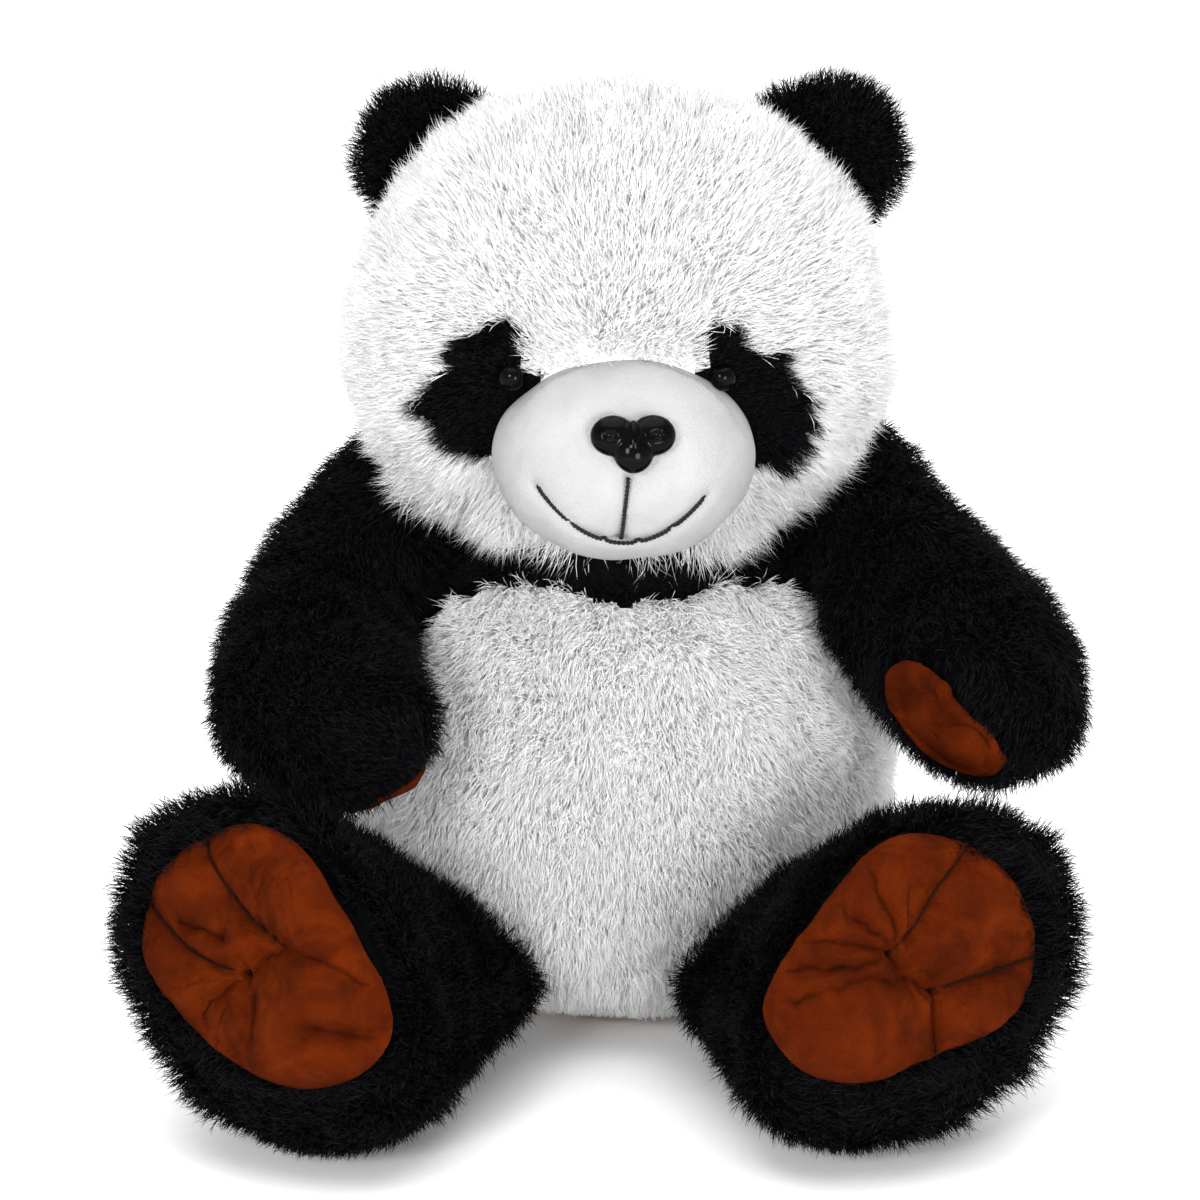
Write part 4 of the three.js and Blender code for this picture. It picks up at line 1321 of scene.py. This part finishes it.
def pad_cover(name, surface, place, outline, middle, rows=(), folds=(), dimple=None, *, fall, puff, seed):
    """A pad laid on a limb's surface: cloth sewn down round its rim and along its rows, folded, and puffed up
    in between."""
    flat, spread, faces, count = disc_in_outline(outline, np.array(middle, float), 0.95)
    height = drop_onto(bvh_of(surface), place, flat)
    top = np.nanmax(height)
    height = np.where(np.isnan(height), top - 2 * fall, height)
    height = (top - fall * (1 - np.exp(-(top - height) / fall))).reshape(count, count)
    for _ in range(60):
        inner = (height[:-2, 1:-1] + height[2:, 1:-1] + height[1:-1, :-2] + height[1:-1, 2:]) / 4
        height[1:-1, 1:-1] = inner
    height = height.ravel()
    rim = (1 - spread) * np.hypot(*(flat - middle).T) / np.maximum(spread, 0.05)
    wander = 0.5 * np.c_[ripple(np.c_[flat, height], 9, seed + 1), ripple(np.c_[flat, height], 9, seed + 2)]
    lift = puff * (1 - np.exp(-((rim / 5.0) ** 1.1)))
    held = np.clip((spread - 0.95) / 0.04, 0, 1)
    gate = np.ones(len(flat))
    for line in rows:
        near = near_line(flat, line)
        gate = np.minimum(gate, 1 - np.exp(-((near / 3.4) ** 0.9)))
        lift -= 1.8 * np.exp(-((near / 1.3) ** 1.2))
        held = np.maximum(held, near < 0.7)
    for line, depth, reach in folds:
        near = near_line(flat + wander, line)
        lift -= 1.35 * depth * np.exp(-((near / (0.5 * reach)) ** 1.1))
        gate = np.minimum(gate, 1 - 0.75 * np.exp(-((near / (1.25 * reach)) ** 1.1)))
    lift *= np.where(lift > 0, gate, 1)
    if dimple:
        near = np.hypot(*(flat - dimple).T)
        lift -= 3.0 * np.exp(-((near / 7.0) ** 2))
        angle = np.arctan2(*(flat - dimple).T[::-1])
        puckers = np.sin(9 * angle + 2.2 * np.sin(2 * angle + seed)) * np.exp(-(((near - 9) / 8) ** 2))
        lift += 0.42 * puckers * (spread < 0.92)
    lift += 0.28 * ripple(np.c_[flat, height], 11, seed + 3) * (1 - held)
    local = np.c_[flat, height + lift]
    pad = new_object(name, out_of(place, local), faces, [BROWN_VELOUR])
    inflate(pad, 2.0, 1.6, pins=held, shrink=-0.03, frames=12)
    co, normals = coordinates(pad), vertex_normals(pad)
    curl = np.clip((spread - 0.9) / 0.1, 0, 1) ** 2
    set_coordinates(pad, co - normals * np.sign(normals @ place[1][2])[:, None] * (1.6 * curl)[:, None])
    thicken = pad.modifiers.new("Solidify", "SOLIDIFY")
    thicken.thickness = 1.4 * MM
    thicken.offset = -1
    apply_modifiers(pad)
    subdivide(pad)
    return smooth_shaded(face_outwards(pad))


def recess(skin, place, outline, middle, depth):
    """Lets a limb's cover sink under its pad, so that deep folds don't reach it."""
    co = coordinates(skin)
    local = into(place, co)
    share = outline_share(local[:, :2], outline, middle)
    top = local[share < 0.5, 2].max() if (share < 0.5).any() else 0
    under = (1 - step(share, 0.8, 1.0)) * (local[:, 2] > top - 30)
    set_coordinates(skin, co - place[1][2] * (depth * under)[:, None])


def outline_share(points, outline, middle):
    """0 in the middle of an outline, 1 on it and more outside."""
    rim = np.array(outline, float) - middle
    angle, reach = np.arctan2(rim[:, 1], rim[:, 0]), np.hypot(rim[:, 0], rim[:, 1])
    order = np.argsort(angle)
    off = points - middle
    return np.hypot(off[:, 0], off[:, 1]) / np.interp(
        np.arctan2(off[:, 1], off[:, 0]), angle[order], reach[order], period=2 * math.pi
    )


def build_arm(side, seed):
    limb = ARMS[side]
    form = dict(spine=limb["spine"], **ARM_PROFILE)
    line, _ = centripetal(limb["spine"])
    middle = line[int(0.84 * (len(line) - 1))] + np.array(limb["pad_shift"], float)
    tangent = unit(line[int(0.8 * len(line)) + 1] - line[int(0.8 * len(line)) - 1])
    place = standing(middle, limb["palm"], limb["pad_long"] or tangent)
    outline = oval(PAW_LONG, PAW_SHORT)
    skin = soft_shape(f"arm_skin_{side}", form, SKIN_INSET, 48, 44)
    remesh(skin, 5, 3)
    swell(skin, 0.9, 38, seed)
    inflate(skin, 2.0, 3.0)
    set_coordinates(skin, clear_the_head(coordinates(skin), 0.5))
    subdivide(skin)
    recess(skin, place, outline, np.zeros(2), 4.0)
    smooth_shaded(skin)
    cover(skin, BLACK_BACKING)
    surface = soft_shape("surface", form, -3.0, 64, 60)
    pad = pad_cover(f"paw_pad_{side}", surface, place, outline, (0, 0), fall=20, puff=2.4, seed=seed)
    bpy.data.objects.remove(surface, do_unlink=True)

    def keep(roots, tips):
        local = into(place, roots)
        bare = (outline_share(local[:, :2], outline, (0, 0)) < 0.93) & (local[:, 2] > 4)
        return np.where((ellipsoid_value(roots, HEAD_CENTRE, HEAD_RADII, -1) > 1) & ~bare, 1.0, 0)

    def comb(points):
        local = into(place, points)
        outward = unit(np.c_[local[:, :2], np.zeros(len(points))] @ place[1])
        near = 1 - step(outline_share(local[:, :2], outline, (0, 0)), 1.0, 1.7)
        near = (near * (local[:, 2] > 4))[:, None]
        fringe = place[1][2] + 0.15 * outward
        down_the_arm = nearest_tangent(points, limb["spine"]) + 0.3 * np.array([0, 0, -1.0])
        return down_the_arm * (1 - near) + fringe * near

    start, end = tuple(line[40] * MM), tuple(line[170] * MM)
    hold = lambda piece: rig.blend(piece, "torso", f"arm_{side}", start=start, end=end)
    pile(f"arm_pile_{side}", skin, 1.3, BLACK_FUR, keep, comb, seed, "black_pile", hold, 8.5, avoid_head=True)
    hold(skin)
    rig.replaces(skin, f"arm_outer_{side}", f"arm_inner_{side}", f"arm_filling_{side}")
    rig.slot(skin, "black_pile")
    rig.padded(skin, fill=0.85)
    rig.ride(pad, f"arm_{side}")
    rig.replaces(pad, f"arm_pad_{side}")
    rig.slot(pad, "brown_cloth")
    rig.padded(pad, fill=0.6)


build_arm("right", 501)
build_arm("left", 511)


def settled(points, sign, root, sole):
    """A leg lies on the floor: its low side spreads inwards and the toes splay outwards."""
    points = points.copy()
    share = (points[:, 2] - 59) / 59
    spread = np.where(share > 0, 9.0, 7.0) * share * step(-points[:, 1], 0, 60)
    axis = root[0] + (sole[0] - root[0]) * (points[:, 1] - root[1]) / (sole[1] - root[1])
    outer = np.clip(sign * (points[:, 0] - axis) / 40, -1, 1)
    spread += 4.0 * np.maximum(outer, 0) * step(share, -0.8, 0) * step(-points[:, 1], 0, 60)
    near_belly = step(-points[:, 1], 0, 40) * (1 - 0.6 * step(-points[:, 1], 70, 130))
    spread += 21.0 * np.minimum(outer, 0) * step(-share, 0, 0.8) * near_belly
    points[:, 0] += sign * spread
    points[:, 2] += (4.0 if sign < 0 else 0.0) * step(share, 0, 1)
    return points


def build_leg(side, seed):
    limb = LEGS[side]
    sign = -1 if side == "right" else 1
    root, sole = np.array(limb["root"], float), np.array(limb["sole"], float)
    axis = unit(sole - root)
    form = dict(spine=[root, sole], up=limb["toes"], **LEG_PROFILE)
    place = standing(sole, axis, limb["toes"])
    outline, middle = limb["outline"], np.array(limb["middle"], float)
    skin = soft_shape(f"leg_skin_{side}", form, SKIN_INSET, 64, 60)
    raise_above(skin, 3.0)
    remesh(skin, 5, 3)
    swell(skin, 0.9, 45, seed)
    inflate(skin, 2.0, 3.0)
    co = settled(coordinates(skin), sign, root, sole)
    co[:, 2] = np.maximum(co[:, 2], 0.8)
    set_coordinates(skin, co)
    subdivide(skin)
    recess(skin, place, outline, middle, 11.0)
    smooth_shaded(skin)
    cover(skin, BLACK_BACKING)
    surface = soft_shape("surface", form, -1.5, 80, 80)
    pad = pad_cover(f"sole_pad_{side}", surface, place, outline, middle, limb["rows"], limb["folds"],
                    limb["dimple"], fall=9, puff=6.4, seed=seed)
    bpy.data.objects.remove(surface, do_unlink=True)

    tree = bvh_of(pad)
    for i, row in enumerate(limb["rows"]):
        flat, _ = centripetal([(*point, 0.0) for point in row], 40)
        height = drop_onto(tree, place, flat[:, :2])
        height = np.where(np.isnan(height), np.nanmean(height), height)
        smooth = np.convolve(np.pad(height, 2, "edge"), np.ones(5) / 5, "valid")
        path = out_of(place, np.c_[flat[:, :2], smooth + 0.1])
        thread = cord_tube(f"toe_stitches_{side}_{i + 1}", path, 0.42, BROWN_THREAD)
        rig.ride(thread, f"leg_{side}")
        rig.replaces(thread, f"toe_thread_{side}_{i + 1}")
        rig.slot(thread, "black_thread")

    def keep(roots, tips):
        local = into(place, roots)
        share = np.where((outline_share(local[:, :2], outline, middle) < 0.9) & (local[:, 2] > -26), 0, 1.0)
        rim = step(local[:, 2], -30, -8)
        low = 1 - 0.45 * step(-roots[:, 2], -22, -6)
        return np.where(roots[:, 2] < 1.6, 0, share * (1 + 0.3 * rim) * low)

    def comb(points):
        local = into(place, points)
        outward = unit(np.c_[local[:, :2] - middle, np.zeros(len(points))] @ place[1])
        face = step(local[:, 2], -14, -2)[:, None]
        return axis * (1 - 0.3 * face) + 0.2 * outward * face

    start, end = tuple(root * MM), tuple((root + 48 * axis) * MM)
    hold = lambda piece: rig.blend(piece, "torso", f"leg_{side}", start=start, end=end)
    pile(f"leg_pile_{side}", skin, 1.3, BLACK_FUR, keep, comb, seed, "black_pile", hold, 8.5)
    hold(skin)
    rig.replaces(skin, f"leg_outer_{side}", f"leg_inner_{side}", f"leg_filling_{side}")
    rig.slot(skin, "black_pile")
    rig.padded(skin, fill=0.85)
    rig.ride(pad, f"leg_{side}")
    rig.replaces(pad, f"leg_pad_{side}")
    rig.slot(pad, "brown_cloth")
    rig.padded(pad, fill=0.7)


build_leg("right", 601)
build_leg("left", 611)

HIDDEN_LOOKS = {"eye_washer_left": WASHER_PLASTIC, "eye_washer_right": WASHER_PLASTIC,
                "nose_washer": WASHER_PLASTIC, "pellet_pouch": POUCH_CLOTH}
for node, look in HIDDEN_LOOKS.items():
    frame["nodes"][node].data.materials.clear()
    cover(frame["nodes"][node], look)

# ---- Floor, light and camera -----------------------------------------------------------------------------

floor_mesh = bpy.data.meshes.new("floor")
SIDE = 6.0  # Half the floor's width, in metres.
corners = [(-SIDE, -SIDE, 0), (SIDE, -SIDE, 0), (SIDE, SIDE, 0), (-SIDE, SIDE, 0)]
floor_mesh.from_pydata(corners, [], [(0, 1, 2, 3)])
floor = bpy.data.objects.new("floor", floor_mesh)
scene.collection.objects.link(floor)
floor_nodes = Nodes("floor_paper", roughness=0.9, specular=0.1)
grain = floor_nodes.noise(300.0, 3.0)
floor_nodes.color(floor_nodes.ramp(grain, [(0.3, (0.93, 0.93, 0.93)), (0.7, (0.95, 0.95, 0.95))]))
floor_mesh.materials.append(floor_nodes.material)
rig.stage(floor)

world = scene.world or bpy.data.worlds.new("world")
scene.world = world
world.use_nodes = True
background = world.node_tree.nodes["Background"]
background.inputs["Strength"].default_value = 3.4
sky = world.node_tree.nodes.new("ShaderNodeTexCoord")
parts = world.node_tree.nodes.new("ShaderNodeSeparateXYZ")
bands = world.node_tree.nodes.new("ShaderNodeValToRGB")
# How bright the room is by height: a pale horizon, dimmer walls, and a soft box overhead.
SKY = [(0.0, 0.3), (0.2, 0.3), (0.35, 0.15), (0.75, 0.15), (0.92, 1.0)]
while len(bands.color_ramp.elements) < len(SKY):
    bands.color_ramp.elements.new(0.5)
for element, (at, grey) in zip(bands.color_ramp.elements, SKY):
    element.position = at
    element.color = (grey, grey, grey, 1)
world.node_tree.links.new(sky.outputs["Generated"], parts.inputs["Vector"])
world.node_tree.links.new(parts.outputs["Z"], bands.inputs["Fac"])
world.node_tree.links.new(bands.outputs["Color"], background.inputs["Color"])


def area_light(name, at, target, size, power):
    data = bpy.data.lights.new(name, "AREA")
    data.shape = "DISK"
    data.size = size
    data.energy = power
    light = bpy.data.objects.new(name, data)
    scene.collection.objects.link(light)
    light.location = at
    light.rotation_euler = (Vector(target) - Vector(at)).to_track_quat("-Z", "Y").to_euler()


TARGET = Vector((-0.0053, -0.030, 0.145))
area_light("key", (-0.7, -1.6, 0.75), TARGET, 0.5, 20)
area_light("fill", (0.6, -1.6, 0.25), TARGET, 0.6, 20)
area_light("rim", (0.2, 1.3, 0.9), TARGET, 0.8, 8)

camera_data = bpy.data.cameras.new("camera")
SENSOR, FOCAL_PIXELS, FRAME_PIXELS, CAMERA_DISTANCE = 36, 3740, 1200, 1.2
camera_data.sensor_width = SENSOR
camera_data.lens = SENSOR * FOCAL_PIXELS / FRAME_PIXELS
camera = bpy.data.objects.new("camera", camera_data)
scene.collection.objects.link(camera)
elevation = math.radians(15)
camera.location = TARGET + CAMERA_DISTANCE * Vector((0, -math.cos(elevation), math.sin(elevation)))
camera.rotation_euler = (TARGET - camera.location).to_track_quat("-Z", "Y").to_euler()
scene.camera = camera
scene.view_settings.view_transform = "Standard"

import json

now_low, now_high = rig.bounds()
with open("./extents.json", "w") as out:
    json.dump({"cad": [list(cad_low), list(cad_high)], "visual": [list(now_low), list(now_high)]}, out)
